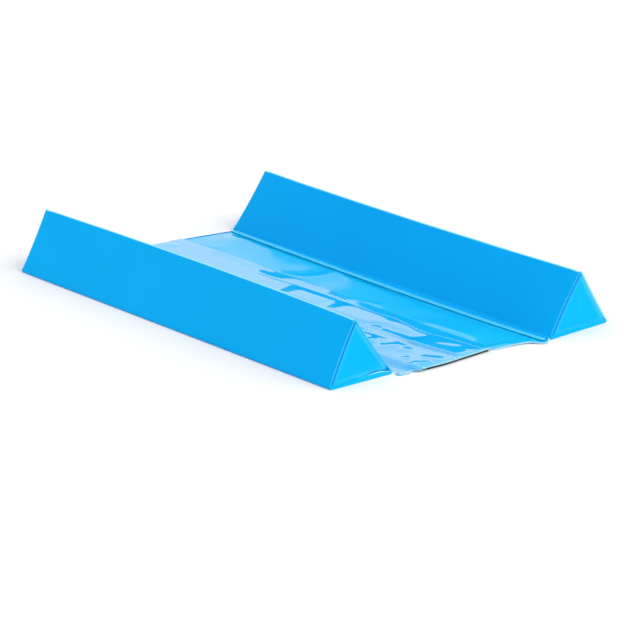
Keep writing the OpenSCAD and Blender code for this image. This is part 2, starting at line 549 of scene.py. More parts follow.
class Section:
    """The rounded triangle of one bolster: u outwards from its inner edge, z up from the floor, in mm."""

    FACE_POINTS = 46
    CORNER_POINTS = 8

    def __init__(self, side):
        sizes = settings().covers
        self.side = side
        self.sign = -1.0 if side == "left" else 1.0
        self.radius = sizes.edge_radius / MM
        self.width = sizes.base_width / MM
        self.ridge = self.width / 2 + getattr(sizes, f"{side}_lean") / MM
        self.ridge_sway = getattr(sizes, f"{side}_ridge_sway") / MM
        self.edge_sway = sizes.right_edge_sway / MM if side == "right" else 0.0
        self.swells = (0.0, sizes.crown / MM, -getattr(sizes, f"{side}_hollow") / MM)
        low, high = WRAP_BOX[side]
        self.inner_x = (abs(low[0]) if side == "left" else high[0]) - self.width
        self.end_y = {"front": low[1], "rear": high[1]}
        # The edge lines run inner, outer, ridge, so that the faces are base, outer and inner.
        self.edges = np.array([
            (self.radius, self.radius),
            (self.width - self.radius, self.radius),
            (self.ridge, BOLSTER_HEIGHT - self.radius),
        ])
        sides = [np.linalg.norm(self.edges[(i + 2) % 3] - self.edges[(i + 1) % 3]) for i in range(3)]
        self.heart = sum(s * e for s, e in zip(sides, self.edges)) / sum(sides)
        run, rise = self.edges[1] - self.edges[0], self.edges[2] - self.edges[0]
        self.inradius = abs(run[0] * rise[1] - run[1] * rise[0]) / sum(sides)

    def along(self, y):
        """0 at the front of the bolster to 1 at its rear."""
        front, rear = self.end_y["front"], self.end_y["rear"]
        return np.clip((np.asarray(y, dtype=float) - front) / (rear - front), 0.0, 1.0)

    def bow(self, y):
        """0 at the ends of the bolster to 1 in its middle, along a parabola."""
        t = self.along(y)
        return 4 * t * (1 - t)

    def shares(self, points):
        """How near each point is to the inner edge, the outer edge and the ridge, adding up to 1."""
        ridge = points[:, 1] / BOLSTER_HEIGHT
        outer = (points[:, 0] - ridge * self.ridge) / self.width
        return 1 - ridge - outer, outer, ridge

    def towards_left(self, points):
        """1 for points on the left of the ridge, 0 on its right."""
        return fade(-self.sign * (points[:, 0] - self.ridge), -RIDGE_BLEND, RIDGE_BLEND)

    def drawn(self, y):
        """How far the inner edge is drawn under the bolster at y, at the tucked end."""
        y = np.asarray(y, dtype=float)
        side, end = TUCKED_END
        return TUCK_DRAW * hump(y, self.end_y[end], TUCK_LENGTH) if self.side == side else 0.0 * y

    def edge_x(self, y):
        """X of the inner edge at y."""
        return self.sign * (self.inner_x - self.edge_sway * self.bow(y) + self.drawn(y))

    def place(self, points, y, cut_square=False):
        """Section points as places in the model, at one y or one for each. A block that is cut square
        leaves out the reach of the end's corners, and keeps only what draws in."""
        points = np.asarray(points, dtype=float)
        inner, outer, ridge = self.shares(points)
        low = hump(points[:, 1], 0.0, TUCK_HEIGHT)
        u = points[:, 0] - self.bow(y) * (self.edge_sway * np.clip(inner, 0.0, 1.0)
                                          + self.ridge_sway * np.clip(ridge, 0.0, 1.0))
        u = u + self.drawn(y) * np.clip(inner, 0.0, 1.0) * low
        reach = np.zeros(len(points))
        for end, out in OUTWARD.items():
            corners = END_REACH[self.side, end]
            near = hump(np.maximum(0.0, out * (self.end_y[end] - y)), 0.0, REACH_LENGTH)
            held = low if (self.side, end) == TUCKED_END else 1.0
            amount = (inner * held * corners[0] + outer * corners[1] + ridge * corners[2]
                      - END_HOLLOW * 4 * ridge * (inner + outer))
            reach += out * near * (np.minimum(amount, 0.0) if cut_square else amount)
        return np.column_stack((self.sign * (self.inner_x + u), y + reach, points[:, 1]))

    def ring(self, inset, corner, crowned=0.0):
        """The outline moved in by inset, with that corner radius and a share of the faces' swell."""
        scale = 1.0 + (self.radius - inset - corner) / self.inradius
        centres = self.heart + scale * (self.edges - self.heart)
        points = []
        for i in range(3):
            here, after, before = centres[i], centres[(i + 1) % 3], centres[(i + 2) % 3]
            ahead = (after - here) / np.linalg.norm(after - here)
            behind = (here - before) / np.linalg.norm(here - before)
            out = np.array((ahead[1], -ahead[0]))
            start = math.atan2(-behind[0], behind[1])
            turn = (math.atan2(out[1], out[0]) - start) % (2 * math.pi)
            for k in range(self.CORNER_POINTS):
                angle = start + turn * k / self.CORNER_POINTS
                points.append(here + corner * np.array((math.cos(angle), math.sin(angle))))
            swell = crowned * self.swells[i]
            for k in range(self.FACE_POINTS):
                t = k / self.FACE_POINTS
                points.append(here + t * (after - here) + (corner + swell * 4 * t * (1 - t)) * out)
        return np.array(points)


# One ring of a cover's end: how far it lies in from the outline, its corner radius and its depth, in mm,
# its share of the way to the heart and of the base's turn-up, and the highlight painted on it left and
# right.
EndStep = namedtuple("EndStep", "inset corner depth share turned light")

# An end panel: the rings of its middle as shares of the way to the heart, its corner radius and how far it
# lies back, in mm, and the turn and the painted highlight of its puffed edge.
PANEL_SHARES = (0.97, 0.9, 0.8, 0.7, 0.6, 0.5, 0.4, 0.3, 0.22, 0.15, 0.1, 0.06, 0.03)
PANEL_CORNER = 1.5
PANEL_BACK = 0.3
PUFF_TURN = math.radians(97)
PUFF_STEPS = 8
PUFF_LIGHT = (0.04, 0.14)
# The bottom of an end seam: its two edges as shares of the groove, and its depth below the panel, in mm.
SEAM_EDGES = (0.7, 0.3)
SEAM_DEPTH = 1.4
# The turned end of a wrap: first angle and turn in degrees, and the highlight painted on it on each side;
# then the highlight painted along the ridge, and none.
ROLL_START = -96
ROLL_TURN = 186
ROLL_STEPS = 9
LEFT_LIGHT = 0.05
RIGHT_LIGHT = {"left": 0.12, "right": 0.4}
RIDGE_LIGHT = 0.7
NO_LIGHT = (0.0, 0.0)
# How far an end seam closes: along the base, along the base that is turned up, and on the right. The seam
# opens along the stretch of turned-up base, in mm from the corner.
BASE_SHUT, TUCKED_SHUT, RIGHT_SHUT = 0.96, 0.85, 0.88
TUCK_OPENS = (12.0, 48.0)
# Share of the faces' swell at the ends of a wrap, the length over which it grows full, and how near to the
# outline an end's ring takes it on, in mm.
END_SWELL = 0.35
SWELL_LENGTH = 70.0
SWELL_INSET = 0.1
# Depths of the rings near the end of a wrap past its roll, and of the first ring of its middle, in mm.
NEAR_RINGS = (1.2, 2.6, 4.4, 6.6, 9.5, 13.0, 17.0, 22.0)
MIDDLE_START = 28.0
MIDDLE_RINGS = 80
# Depths past the roll where the pull of an end seam comes in and dies away, in mm.
PULL_START, PULL_LENGTH = 2.0, 7.0
# The foam gives a little: height of the unevenness, its size round and along the bolster, in mm.
GIVE, GIVE_ROUND, GIVE_ALONG = 0.35, 60.0, 85.0
GIVE_SEED = {"left": 3.0, "right": 8.0}
# The vinyl gathers at the end seams: height, depth and pitch in mm, and how far and how fast that drifts.
GATHER, GATHER_LENGTH, GATHER_PITCH = 0.16, 6.0, 2.1
GATHER_DRIFT, GATHER_DRIFT_PITCH = 2.0, 17.0
# Heights over which give and gathers come in above the floor, in mm.
OFF_FLOOR = (0.3, 6.0)


def cover_profile(sizes, right_light):
    """The rings of a cover's end, from the panel's middle out to the wrap."""
    wrap, roll, drop = sizes.wrap_roll / MM, sizes.panel_roll / MM, sizes.panel_drop / MM
    groove, crown = sizes.groove / MM, sizes.panel_crown / MM
    panel_edge = 2 * wrap + groove + roll
    steps = []
    for share in PANEL_SHARES:
        depth = PANEL_BACK - crown * (1 - (1 - share) ** 2)
        steps.append(EndStep(panel_edge, PANEL_CORNER, depth, share, (1 - share) ** 3, NO_LIGHT))
    for k in range(PUFF_STEPS + 1):
        angle = PUFF_TURN * k / PUFF_STEPS
        inset = panel_edge - roll * math.sin(angle)
        depth = PANEL_BACK + drop * (1 - math.cos(angle))
        light = (PUFF_LIGHT[0] * max(0.0, math.sin(3 * angle)), PUFF_LIGHT[1] * math.sin(angle) ** 2)
        steps.append(EndStep(inset, PANEL_CORNER, depth, 0.0, 1.0, light))
    for edge in SEAM_EDGES:
        depth = PANEL_BACK + drop + SEAM_DEPTH
        steps.append(EndStep(2 * wrap + edge * groove, PANEL_CORNER, depth, 0.0, 1.0, NO_LIGHT))
    for k in range(ROLL_STEPS + 1):
        angle = math.radians(ROLL_START + ROLL_TURN * k / ROLL_STEPS)
        inset, depth = wrap * (1 - math.sin(angle)), wrap * (1 - math.cos(angle))
        corner = PANEL_CORNER + (RING_RADIUS - PANEL_CORNER) * (1 - min(1.0, inset / wrap))
        turned = min(1.0, inset / (2 * wrap))
        steps.append(EndStep(inset, corner, depth, 0.0, turned, (LEFT_LIGHT, right_light)))
    return steps


def turn_up(points):
    """Share of the base's turn-up at section points: less at the very corner, none high up or far out."""
    u, z = points[:, 0], points[:, 1]
    near_corner = CORNER_SHARE + (1 - CORNER_SHARE) * fade(u, *TURN_UP_START)
    return (1 - fade(z, 0.0, TURN_UP_HEIGHT)) * (1 - fade(u, *TURN_UP_RUNOUT)) * near_corner


def end_ring(section, step, end):
    """One ring of a cover's end, as places in mm."""
    tucked = (section.side, end) == TUCKED_END
    points = section.ring(step.inset, step.corner, END_SWELL if step.inset < SWELL_INSET else 0.0)
    points = points + step.share * (section.heart - points)
    # The seam lies flat along the base, opens where the base is turned up, and is closer on the right.
    raised = fade(points[:, 1], *OFF_BASE)
    based = TUCKED_SHUT * fade(points[:, 0], *TUCK_OPENS) if tucked else BASE_SHUT
    shut = np.maximum(based * (1 - raised), RIGHT_SHUT * (1 - section.towards_left(points)) * raised)
    if tucked:
        points[:, 1] += settings().covers.tuck / MM * step.turned * turn_up(points)
    return section.place(points, section.end_y[end] - OUTWARD[end] * step.depth * (1 - shut))


def wrap_depths(roll):
    """Depths of the wrap's rings behind its front, in mm: closer together near the ends."""
    near = [roll + depth for depth in NEAR_RINGS]
    middle = np.linspace(MIDDLE_START, BOLSTER_LENGTH - MIDDLE_START, MIDDLE_RINGS)
    return near + list(middle) + [BOLSTER_LENGTH - depth for depth in reversed(near)]


def wrap_ring(section, depth, sizes):
    """One ring of the wrap at a depth behind its front, as places in mm."""
    from_end = min(depth, BOLSTER_LENGTH - depth)
    past_roll = from_end - sizes.wrap_roll / MM
    pulled = hump(past_roll, 0.0, PULL_LENGTH) * (1 - hump(past_roll, 0.0, PULL_START))
    swell = END_SWELL + (1 - END_SWELL) * float(fade(from_end, 0.0, SWELL_LENGTH))
    points = section.ring(sizes.seam_pull / MM * pulled, section.radius, swell)
    y = section.end_y["front"] + depth
    placed = section.place(points, y)
    out = points - section.heart
    out /= np.linalg.norm(out, axis=1)[:, None]
    walk = np.cumsum(np.linalg.norm(np.roll(points, -1, axis=0) - points, axis=1))
    seed = GIVE_SEED[section.side]
    give = GIVE * np.array([wobble(w / GIVE_ROUND, y / GIVE_ALONG, seed) for w in walk])
    beat = np.sin(walk / GATHER_PITCH + GATHER_DRIFT * np.sin(walk / GATHER_DRIFT_PITCH))
    lift = (give + GATHER * hump(past_roll, 0.0, GATHER_LENGTH) * beat) * fade(points[:, 1], *OFF_FLOOR)
    placed[:, 0] += section.sign * lift * out[:, 0]
    placed[:, 2] += lift * out[:, 1]
    return placed


def painted_edge_highlight(section, steps, heights):
    """The highlight painted on the points of a cover, from 0 to 1: along its turned ends and its ridge."""
    leftward = section.towards_left(section.ring(0.0, RING_RADIUS))
    caught = np.array([step.light[0] * leftward + step.light[1] * (1 - leftward) for step in steps])
    ends = len(steps)
    light = np.zeros(heights.shape)
    light[:ends], light[-ends:] = caught, caught[::-1]
    # The ridge is painted lighter in the middle of its round, as a highlight.
    ridge = 2 * (Section.FACE_POINTS + Section.CORNER_POINTS)
    light[ends:-ends, ridge + 3:ridge + Section.CORNER_POINTS - 1] = RIDGE_LIGHT
    return light * fade(heights, *OFF_BASE)


def bolster_cover(side):
    """One closed cover: front panel, groove, turned wrap end, wrap, and the same again to the rear."""
    sizes = settings().covers
    section = Section(side)
    steps = cover_profile(sizes, RIGHT_LIGHT[side])
    rings = [end_ring(section, step, "front") for step in steps]
    rings += [wrap_ring(section, depth, sizes) for depth in wrap_depths(sizes.wrap_roll / MM)]
    rings += [end_ring(section, step, "rear") for step in reversed(steps)]
    count = len(rings[0])
    points = np.vstack(rings)
    points[:, 2] = np.maximum(points[:, 2], 0.0)
    sheen = painted_edge_highlight(section, steps, points[:, 2].reshape(len(rings), count))
    cover = mesh_piece(f"{side}_bolster_cover", points, tube_faces(len(rings), count), "cover",
                       smooth_below=50, sheen=sheen.ravel())
    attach(cover, f"{side}_bolster")
    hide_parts(f"{side}_cover_wrap", f"{side}_front_end_panel", f"{side}_rear_end_panel")


CORD_SIDES = 10


def round_cord(name, path, wide, high, surface, loop=False):
    """A soft cord along a path in mm, with its half width and half height at each point. A loop stands
    upright round an end, and an open cord lies level."""
    count = len(path)
    angles = np.arange(CORD_SIDES) * 2 * math.pi / CORD_SIDES
    level = (0.0, 1.0, 0.0) if loop else UP
    rings = []
    for index, point in enumerate(path):
        after = (index + 1) % count if loop else min(index + 1, count - 1)
        before = (index - 1) % count if loop else max(index - 1, 0)
        ahead = (path[after] - path[before]) / np.linalg.norm(path[after] - path[before])
        across = np.cross(ahead, level)
        across /= np.linalg.norm(across)
        rise = np.cross(across, ahead)
        rings.append(point + np.outer(np.cos(angles) * wide[index], across)
                     + np.outer(np.sin(angles) * high[index], rise))
    faces = ring_faces(count, CORD_SIDES, loop) if loop else tube_faces(count, CORD_SIDES)
    return mesh_piece(name, np.vstack(rings), faces, surface)


# The dark cord in an end seam, whose colour is painted shade in the groove: its radius as a share of the
# groove, its least share along the base and on the right, and its depth in mm. At the tucked end it shows in
# a gape over the turned-up base, where it paints the shadow of the opening.
CORD_RADIUS = 0.5
CORD_LEAST = 0.1
CORD_DEPTH = 0.5
GAPE_RADIUS = 0.55
GAPE_RUNOUT = (10.0, 44.0)


def end_seam_cord(side, end):
    """The dark cord that shows in the seam round an end panel, as painted shade in its groove."""
    sizes = settings().covers
    section = Section(side)
    groove = sizes.groove / MM
    points = section.ring(2 * sizes.wrap_roll / MM + SEAM_EDGES[0] * groove, RING_RADIUS / 2)
    # It shows along the sloping faces, and sinks into the seam along the base.
    raised = fade(points[:, 1], *OFF_BASE)
    radii = CORD_RADIUS * groove * (CORD_LEAST + (1 - CORD_LEAST) * raised)
    radii *= CORD_LEAST + section.towards_left(points)
    if (side, end) == TUCKED_END:
        gape = (1 - raised) * (1 - fade(points[:, 0], *GAPE_RUNOUT))
        radii = np.maximum(radii, GAPE_RADIUS * groove * gape)
        points[:, 1] += sizes.tuck / MM * turn_up(points)
    path = section.place(points, section.end_y[end] - OUTWARD[end] * CORD_DEPTH)
    cord = round_cord(f"{side}_{end}_seam_cord", path, radii, radii, "seam", loop=True)
    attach(cord, f"{side}_bolster")


# The pleat at the tucked end, in mm: its distance from the inner edge and its length, its height at the
# corner and its rise, how far it stands out, its radius at the tips, and what the middle adds and how fully.
PLEAT_START, PLEAT_LENGTH = 2.0, 38.0
PLEAT_LOW, PLEAT_RISE = 3.2, 2.2
PLEAT_OUT = 0.4
PLEAT_TIP, PLEAT_BODY = 0.1, 0.95
PLEAT_FULLNESS = 0.8
PLEAT_POINTS = 30


def base_pleat():
    """The pleat of vinyl where the tucked end's base is turned up at its inner corner, painted pale as a
    highlight on its fold.
    """
    side, end = TUCKED_END
    section = Section(side)
    t = np.linspace(0.0, 1.0, PLEAT_POINTS)
    points = np.column_stack((PLEAT_START + PLEAT_LENGTH * t, PLEAT_LOW + PLEAT_RISE * fade(t, 0.0, 0.5)))
    radii = PLEAT_TIP + PLEAT_BODY * np.sin(math.pi * t) ** PLEAT_FULLNESS
    path = section.place(points, section.end_y[end] + OUTWARD[end] * PLEAT_OUT)
    pleat = round_cord("base_pleat", path, radii, radii, "pleat")
    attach(pleat, f"{side}_bolster")


class POSITIONER_OT_covers(bpy.types.Operator):
    """Sew the two vinyl covers over their foam"""
    bl_idname = "positioner.covers"
    bl_label = "Bolster covers"

    def execute(self, context):
        for side in SIDES:
            bolster_cover(side)
            for end in OUTWARD:
                end_seam_cord(side, end)
        base_pleat()
        return {"FINISHED"}


def foam_block(side):
    """The cut foam inside a cover, which sways with it."""
    section = Section(side)
    low, high = CORE_BOX[side]
    outline = section.ring(low[2], FOAM_CORNER)
    stations = np.linspace(low[1] + FOAM_CORNER, high[1] - FOAM_CORNER, FOAM_RINGS)
    rings = [section.place(outline, y, cut_square=True) for y in stations]
    faces = tube_faces(len(rings), len(outline))
    block = mesh_piece(f"{side}_foam_block", np.vstack(rings), faces, "foam", smooth_below=30)
    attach(block, f"{side}_bolster")
    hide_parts(f"{side}_foam_core")


class POSITIONER_OT_cores(bpy.types.Operator):
    """Cut the two foam blocks"""
    bl_idname = "positioner.cores"
    bl_label = "Foam cores"

    def execute(self, context):
        for side in SIDES:
            foam_block(side)
        return {"FINISHED"}


# Thread

# How blunt a stitch's ends are, from 1 for a ball's down to 0 for square ones.
STITCH_BLUNT = 0.6


def stitch_shape():
    """One stitch along X, 1 long and 1 in radius: its points and faces."""
    deselect()
    bpy.ops.mesh.primitive_uv_sphere_add(segments=7, ring_count=6, radius=1.0)
    bead = bpy.context.object
    bpy.ops.object.mode_set(mode="EDIT")
    bpy.ops.mesh.select_all(action="SELECT")
    bpy.ops.transform.rotate(value=math.pi / 2, orient_axis="Y", center_override=(0, 0, 0))
    bpy.ops.object.mode_set(mode="OBJECT")
    points = np.array([v.co[:] for v in bead.data.vertices])
    faces = [tuple(p.vertices) for p in bead.data.polygons]
    points[:, 0] = np.sign(points[:, 0]) * np.abs(points[:, 0]) ** STITCH_BLUNT / 2
    bpy.data.objects.remove(bead)
    return points, faces


def sewn_thread(name, starts, ends, radius, up=UP, bow=0.0, surface="thread"):
    """Stitches from start to end points (mm) as one mesh. Each bows towards the side that faces up."""
    shape, shape_faces = stitch_shape()
    hump_up = bow * (1 - (2 * shape[:, 0]) ** 2)
    points, faces = [], []
    for start, end in zip(starts, ends):
        along = end - start
        length = np.linalg.norm(along)
        along = along / length
        across = np.cross(up, along)
        across /= np.linalg.norm(across)
        rise = np.cross(along, across)
        base = len(points) * len(shape)
        points.append((start + end) / 2 + np.outer(shape[:, 0] * length, along)
                      + np.outer(shape[:, 1] * radius, across)
                      + np.outer(shape[:, 2] * radius + hump_up, rise))
        faces += [tuple(base + i for i in face) for face in shape_faces]
    return mesh_piece(name, np.vstack(points), faces, surface)


# The bound seams

# How far a bound seam lies out from its bolster's edge, in mm. The right one also swings out, forward of its
# middle, and the swing dies away to the rear.
LEFT_REACH = 1.0
RIGHT_REACH = 4.5
RIGHT_SWING = 5.0
SWING_FORWARD = 0.8
SWING_DECAY = 0.6
# The sizes of the rings that round off the ends of a strip.
STRIP_ENDS = (0.5, 0.85, 0.97)
# The folded tape across the seam, in mm: its root under the bolster and its tip in the trough, the points
# between, its underside and top, and the radius of its fold.
BINDING_ROOT, BINDING_TIP = -1.2, 8.6
BINDING_POINTS = (0.5, 2.5, 4.5, 6.5)
BINDING_UNDER, BINDING_TOP = 1.05, 1.95
BINDING_NOSE = 0.45
NOSE_STEPS = 8
BINDING_RINGS = 240
BINDING_INSET = 0.5
# The free edge of the tape, in mm: how far it drifts and over what length, how far it stands off the flap,
# and how far and over what length that varies.
BINDING_DRIFT, DRIFT_LENGTH = 0.6, 30.0
BINDING_LIFT, LIFT_VARIES, LIFT_LENGTH = 0.6, 0.3, 22.0
BINDING_SEED = {"left": 21.0, "right": 34.0}
# One step of overcast thread, from w and y to w and y in mm: slanting across the tape, along its free edge
# and along its root. The steps stay clear of the ends, and the thread lies on the tape.
OVERCAST = (((1.8, 3.2), (7.6, 0.4)), ((7.9, 0.0), (7.9, 3.4)), ((1.6, 0.4), (1.6, 3.6)))
OVERCAST_PITCH = 4.6
OVERCAST_CLEAR = (3.0, 5.0)
OVERCAST_RADIUS = 0.42
THREAD_LIFT = 0.12
# The web of cover vinyl at a hinge: w and z in mm, and the share of the seam's reach.
WEB_OUTLINE = (
    (1.2, 1.7, 1.0), (1.2, 2.15, 1.0), (0.8, 2.3, 0.75), (0.4, 2.8, 0.4), (0.1, 3.6, 0.15),
    (-0.3, 5.0, 0.0), (-0.9, 6.2, 0.0), (-1.6, 6.2, 0.0), (-1.0, 4.4, 0.0), (-0.5, 2.8, 0.1),
    (0.2, 1.8, 0.5),
)
# The rings along the web, and how much shorter than the binding it is at each end, in mm.
WEB_RINGS = 200
WEB_INSET = 1.5


def bolster_middle(side):
    """Y of the middle of a bolster."""
    return (WRAP_BOX[side][0][1] + WRAP_BOX[side][1][1]) / 2


def seam_reach(side, y):
    """How far the bound seam lies out from its bolster's edge at y, in mm: furthest before the middle."""
    if side == "left":
        return LEFT_REACH
    t = Section(side).along(y)
    swing = RIGHT_SWING * np.sin(math.pi * t ** SWING_FORWARD) * (1 - SWING_DECAY * t)
    return RIGHT_REACH * (1 - t) + swing


def held_still(side, y):
    """The drift and lift of an edge that doesn't wander."""
    return 0.0, 0.0


def binding_wander(side, y):
    """Drift and lift of the free edge of a binding, which stands a little off the flap, in mm."""
    seed = BINDING_SEED[side]
    drift = BINDING_DRIFT * wobble(y / DRIFT_LENGTH, seed, 0.0)
    return drift, BINDING_LIFT + LIFT_VARIES * wobble(y / LIFT_LENGTH, 0.0, seed)


def strip_along(name, side, outline, inset, count, surface, wander):
    """A closed strip along a bolster's inner edge, as long as the binding less an inset at each end. Its
    outline gives w, into the trough, z, and the share of the seam's reach that each point takes, in mm."""
    section = Section(side)
    outline = np.array(outline)
    follow, outline = outline[:, 2], outline[:, :2]
    middle = outline.mean(axis=0)
    share = (outline[:, 0] - outline[:, 0].min()) / np.ptp(outline[:, 0])
    rings = []
    low, high = BINDING_BOX[side]
    for index, y in enumerate(np.linspace(low[1] + inset, high[1] - inset, count)):
        from_end = min(index, count - 1 - index)
        size = STRIP_ENDS[from_end] if from_end < len(STRIP_ENDS) else 1.0
        shape = middle + size * (outline - middle)
        drift, lift = wander(side, y)
        out = shape[:, 0] + drift * share + follow * seam_reach(side, y)
        x = section.edge_x(y) - section.sign * out
        rings.append(np.column_stack((x, np.full(len(x), y), shape[:, 1] + lift * share)))
    return mesh_piece(name, np.vstack(rings), tube_faces(count, len(outline)), surface)


def binding_tape(side):
    """The bound lips of a closing seam, lying on the flap."""
    flat_end = BINDING_TIP - BINDING_NOSE
    across = (BINDING_ROOT, *BINDING_POINTS, flat_end)
    outline = [(w, BINDING_UNDER, 1.0) for w in across]
    for k in range(1, NOSE_STEPS):
        angle = math.radians(-90 + 180 * k / NOSE_STEPS)
        z = (BINDING_UNDER + BINDING_TOP) / 2 + BINDING_NOSE * math.sin(angle)
        outline.append((flat_end + BINDING_NOSE * math.cos(angle), z, 1.0))
    outline += [(w, BINDING_TOP, 1.0) for w in reversed(across)]
    binding = strip_along(f"{side}_binding_tape", side, outline, BINDING_INSET, BINDING_RINGS, "binding",
                          binding_wander)
    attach(binding, f"{side}_base")
    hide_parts(f"{side}_seam_binding", f"{side}_seam_lips")


def overcast_place(side, w, y):
    """A place on the top of a binding, for its thread, in mm."""
    section = Section(side)
    drift, lift = binding_wander(side, y)
    share = (w - BINDING_ROOT) / (BINDING_TIP - BINDING_ROOT)
    out = w + drift * share + seam_reach(side, y)
    return np.array((section.edge_x(y) - section.sign * out, y, BINDING_TOP + THREAD_LIFT + lift * share))


def overcast_seam(side):
    """The thread that slants over a binding between a row along its free edge and one along its root."""
    low, high = BINDING_BOX[side]
    starts, ends = [], []
    for y in np.arange(low[1] + OVERCAST_CLEAR[0], high[1] - OVERCAST_CLEAR[1], OVERCAST_PITCH):
        for (w_start, y_start), (w_end, y_end) in OVERCAST:
            starts.append(overcast_place(side, w_start, y + y_start))
            ends.append(overcast_place(side, w_end, y + y_end))
    thread = sewn_thread(f"{side}_binding_thread", starts, ends, OVERCAST_RADIUS, surface="overcast")
    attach(thread, f"{side}_base")


def seam_web(side):
    """The cover's vinyl where it turns from the face into the seam."""
    web = strip_along(f"{side}_seam_web", side, WEB_OUTLINE, WEB_INSET, WEB_RINGS, "cover", held_still)
    section = Section(side)
    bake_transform(web)


class POSITIONER_OT_bindings(bpy.types.Operator):
    """Bind the closing seams and overcast them"""
    bl_idname = "positioner.bindings"
    bl_label = "Seam bindings"

    def execute(self, context):
        for side in SIDES:
            binding_tape(side)
            overcast_seam(side)
            seam_web(side)
        return {"FINISHED"}


# The plan of the flaps

# How far the front of the lap stays back about its inner edge, with its start and end from there, and how
# far its rear stays back towards the free edge, with its range, in mm.
LAP_SLIP = 3.5
LAP_SLIP_START, LAP_SLIP_END = (-14.0, -2.0), (0.0, 45.0)
REAR_SLIP = 6.5
REAR_SLIP_RANGE = (-30.0, 30.0)
# The upper flap's front corner by the bolster: how far its skew goes before the corner fills out, and how
# far the very edge stays back and over what width, in mm.
CORNER_SKEW = 10.5
CORNER_BACK = 3.0
CORNER_EDGE = (-3.0, 3.0)
# The corner of the upper flap also runs in under its bolster, over a stretch of its front, in mm.
CORNER_UNDER = 5.0
CORNER_SHARPNESS = 8
CORNER_STRETCH = (284.0, 290.0)
# The lower flap's front before the bolster: height, place, spread in mm.
LOWER_FRONT = ((11.0, 97.0, 10.0), (-2.3, 62.0, 22.0))
# How far the lower flap's front stays back under the lap, and further at its free corner, and where each
# ends, from the free edge of the upper flap and from its own, in mm.
LAP_TUCK, LAP_TUCK_END = 5.0, (-8.0, 10.0)
FREE_TUCK, FREE_TUCK_END = 11.0, (0.0, 24.0)


def skewed(x, x_lap, x_sewn, y_sewn):
    """Middle of a flap's length at x, from the lap to its sewn edge."""
    t = np.clip((np.asarray(x, dtype=float) - x_lap) / (x_sewn - x_lap), 0.0, 1.0)
    return LAP_Y + (y_sewn - LAP_Y) * t


def lap_slip(x):
    """How far the front of the lap stays back about its inner edge, in mm."""
    off = np.asarray(x, dtype=float) - LOWER_FREE
    return LAP_SLIP * fade(off, *LAP_SLIP_START) * (1 - fade(off, *LAP_SLIP_END))


def rear_slip(x):
    """How far the rear of the lap stays back towards its free edge, in mm."""
    return REAR_SLIP * fade(x, *REAR_SLIP_RANGE)


def upper_ends(x):
    """Front and rear of the upper flap at x: its front corner by the bolster is full."""
    middle = skewed(x, LOWER_FREE, UPPER_SEWN, bolster_middle("left"))
    back = CORNER_BACK * (1 - fade(np.asarray(x, dtype=float) - UPPER_SEWN, *CORNER_EDGE))
    full = np.maximum(middle - LAP_Y - CORNER_SKEW, 0.0) - back
    return middle - FLAP_LENGTH / 2 - full + lap_slip(x), middle + FLAP_LENGTH / 2 - rear_slip(x)


def lower_ends(x):
    """Front and rear of the lower flap at x: its front stays back under the lap, and swings out before it
    meets the bolster."""
    x = np.asarray(x, dtype=float)
    middle = skewed(x, UPPER_FREE, LOWER_SEWN, bolster_middle("right"))
    tucked = (LAP_TUCK * (1 - fade(x - UPPER_FREE, *LAP_TUCK_END))
              + FREE_TUCK * (1 - fade(x - LOWER_FREE, *FREE_TUCK_END)))
    return middle - FLAP_LENGTH / 2 - humps(x, LOWER_FRONT) + tucked, middle + FLAP_LENGTH / 2


def upper_bow(share, y):
    """How far the upper flap runs in under its bolster, at a share of its width from there, in mm."""
    return -CORNER_UNDER * (1 - share) ** CORNER_SHARPNESS * fade(-y, *CORNER_STRETCH)


def lower_bow(share, y):
    """How far the lower flap follows its bolster's swayed edge, at a share of its width, in mm."""
    section = Section("right")
    return share * (section.edge_x(y) - section.inner_x)


# The upper flap's height

# Stitch rows of the upper flap across the trough, in mm: the tape's outer edge, the pair between the two
# strips, and the tape's inner edge. Each drifts off its line about places along Y: shift, place, spread.
ROWS = (12.0, -33.2, -39.6, -84.6)
FIRST_ROW, PAIR_ROW = 0, 1
PAIR_DRIFT = ((-2.5, -235, 30), (6.0, -312, 36))
ROW_DRIFT = (
    ((-5.0, 95, 60), (2.0, -150, 22), (-6.5, -208, 26), (5.0, -300, 35)),
    PAIR_DRIFT, PAIR_DRIFT, (),
)
# How firmly each row holds the folds down, and for what width, in mm.
ROW_GRIP = (1.0, 1.0, 1.0, 0.35)
GRIP_WIDTH = 5.0
# The gathers beside a row and the dent along it, in mm: widths, depth of the dent, and the gathers' length
# with its drift.
PUCKER_WIDTH = 4.5
DENT, DENT_WIDTH = 0.16, 1.3
PUCKER_BEAT, BEAT_DRIFT, BEAT_DRIFT_LENGTH = 1.15, 1.3, 9.0

# Folds of the upper flap: from x, y to x, y, width and height, in mm. Each falls away across its line,
# on the side of the right bolster and the rear.
UPPER_FOLDS = (
    (-39.5, -141, -22, -161, 7.5, 1.3), (-74, -177, -55, -189, 11.0, 2.5),
    (-74, -205, -44, -223, 10.0, 1.35), (-63, -232, -47, -244, 7.5, 1.0), (-84, -257, -71, -264, 6.5, 0.9),
    (-58, -272, -43, -297, 8.5, 1.2), (-90, -278, -64, -297, 8.5, 2.2), (-53, -150, -47.5, -204, 6.0, 0.85),
    (-113, -287, -101, -295, 5.5, 1.5), (-66, -120, -48, -134, 6.0, 0.7), (-72, -60, -52, -78, 6.5, 0.7),
    (-56, 10, -44, -16, 6.5, 0.7), (-76, 70, -56, 46, 6.5, 0.8), (-60, 140, -46, 112, 6.5, 0.7),
    (-74, 210, -56, 186, 6.5, 0.8), (-58, 270, -46, 250, 6.0, 0.6), (-2, 286, 8, 262, 6.0, 0.5),
)
# Where a fold comes in and goes out, as shares of its length, and how far its crest lies back from its
# line, as a share of its width.
FOLD_START, FOLD_END = (-0.2, 0.25), (0.75, 1.2)
FOLD_SET_BACK = 0.7
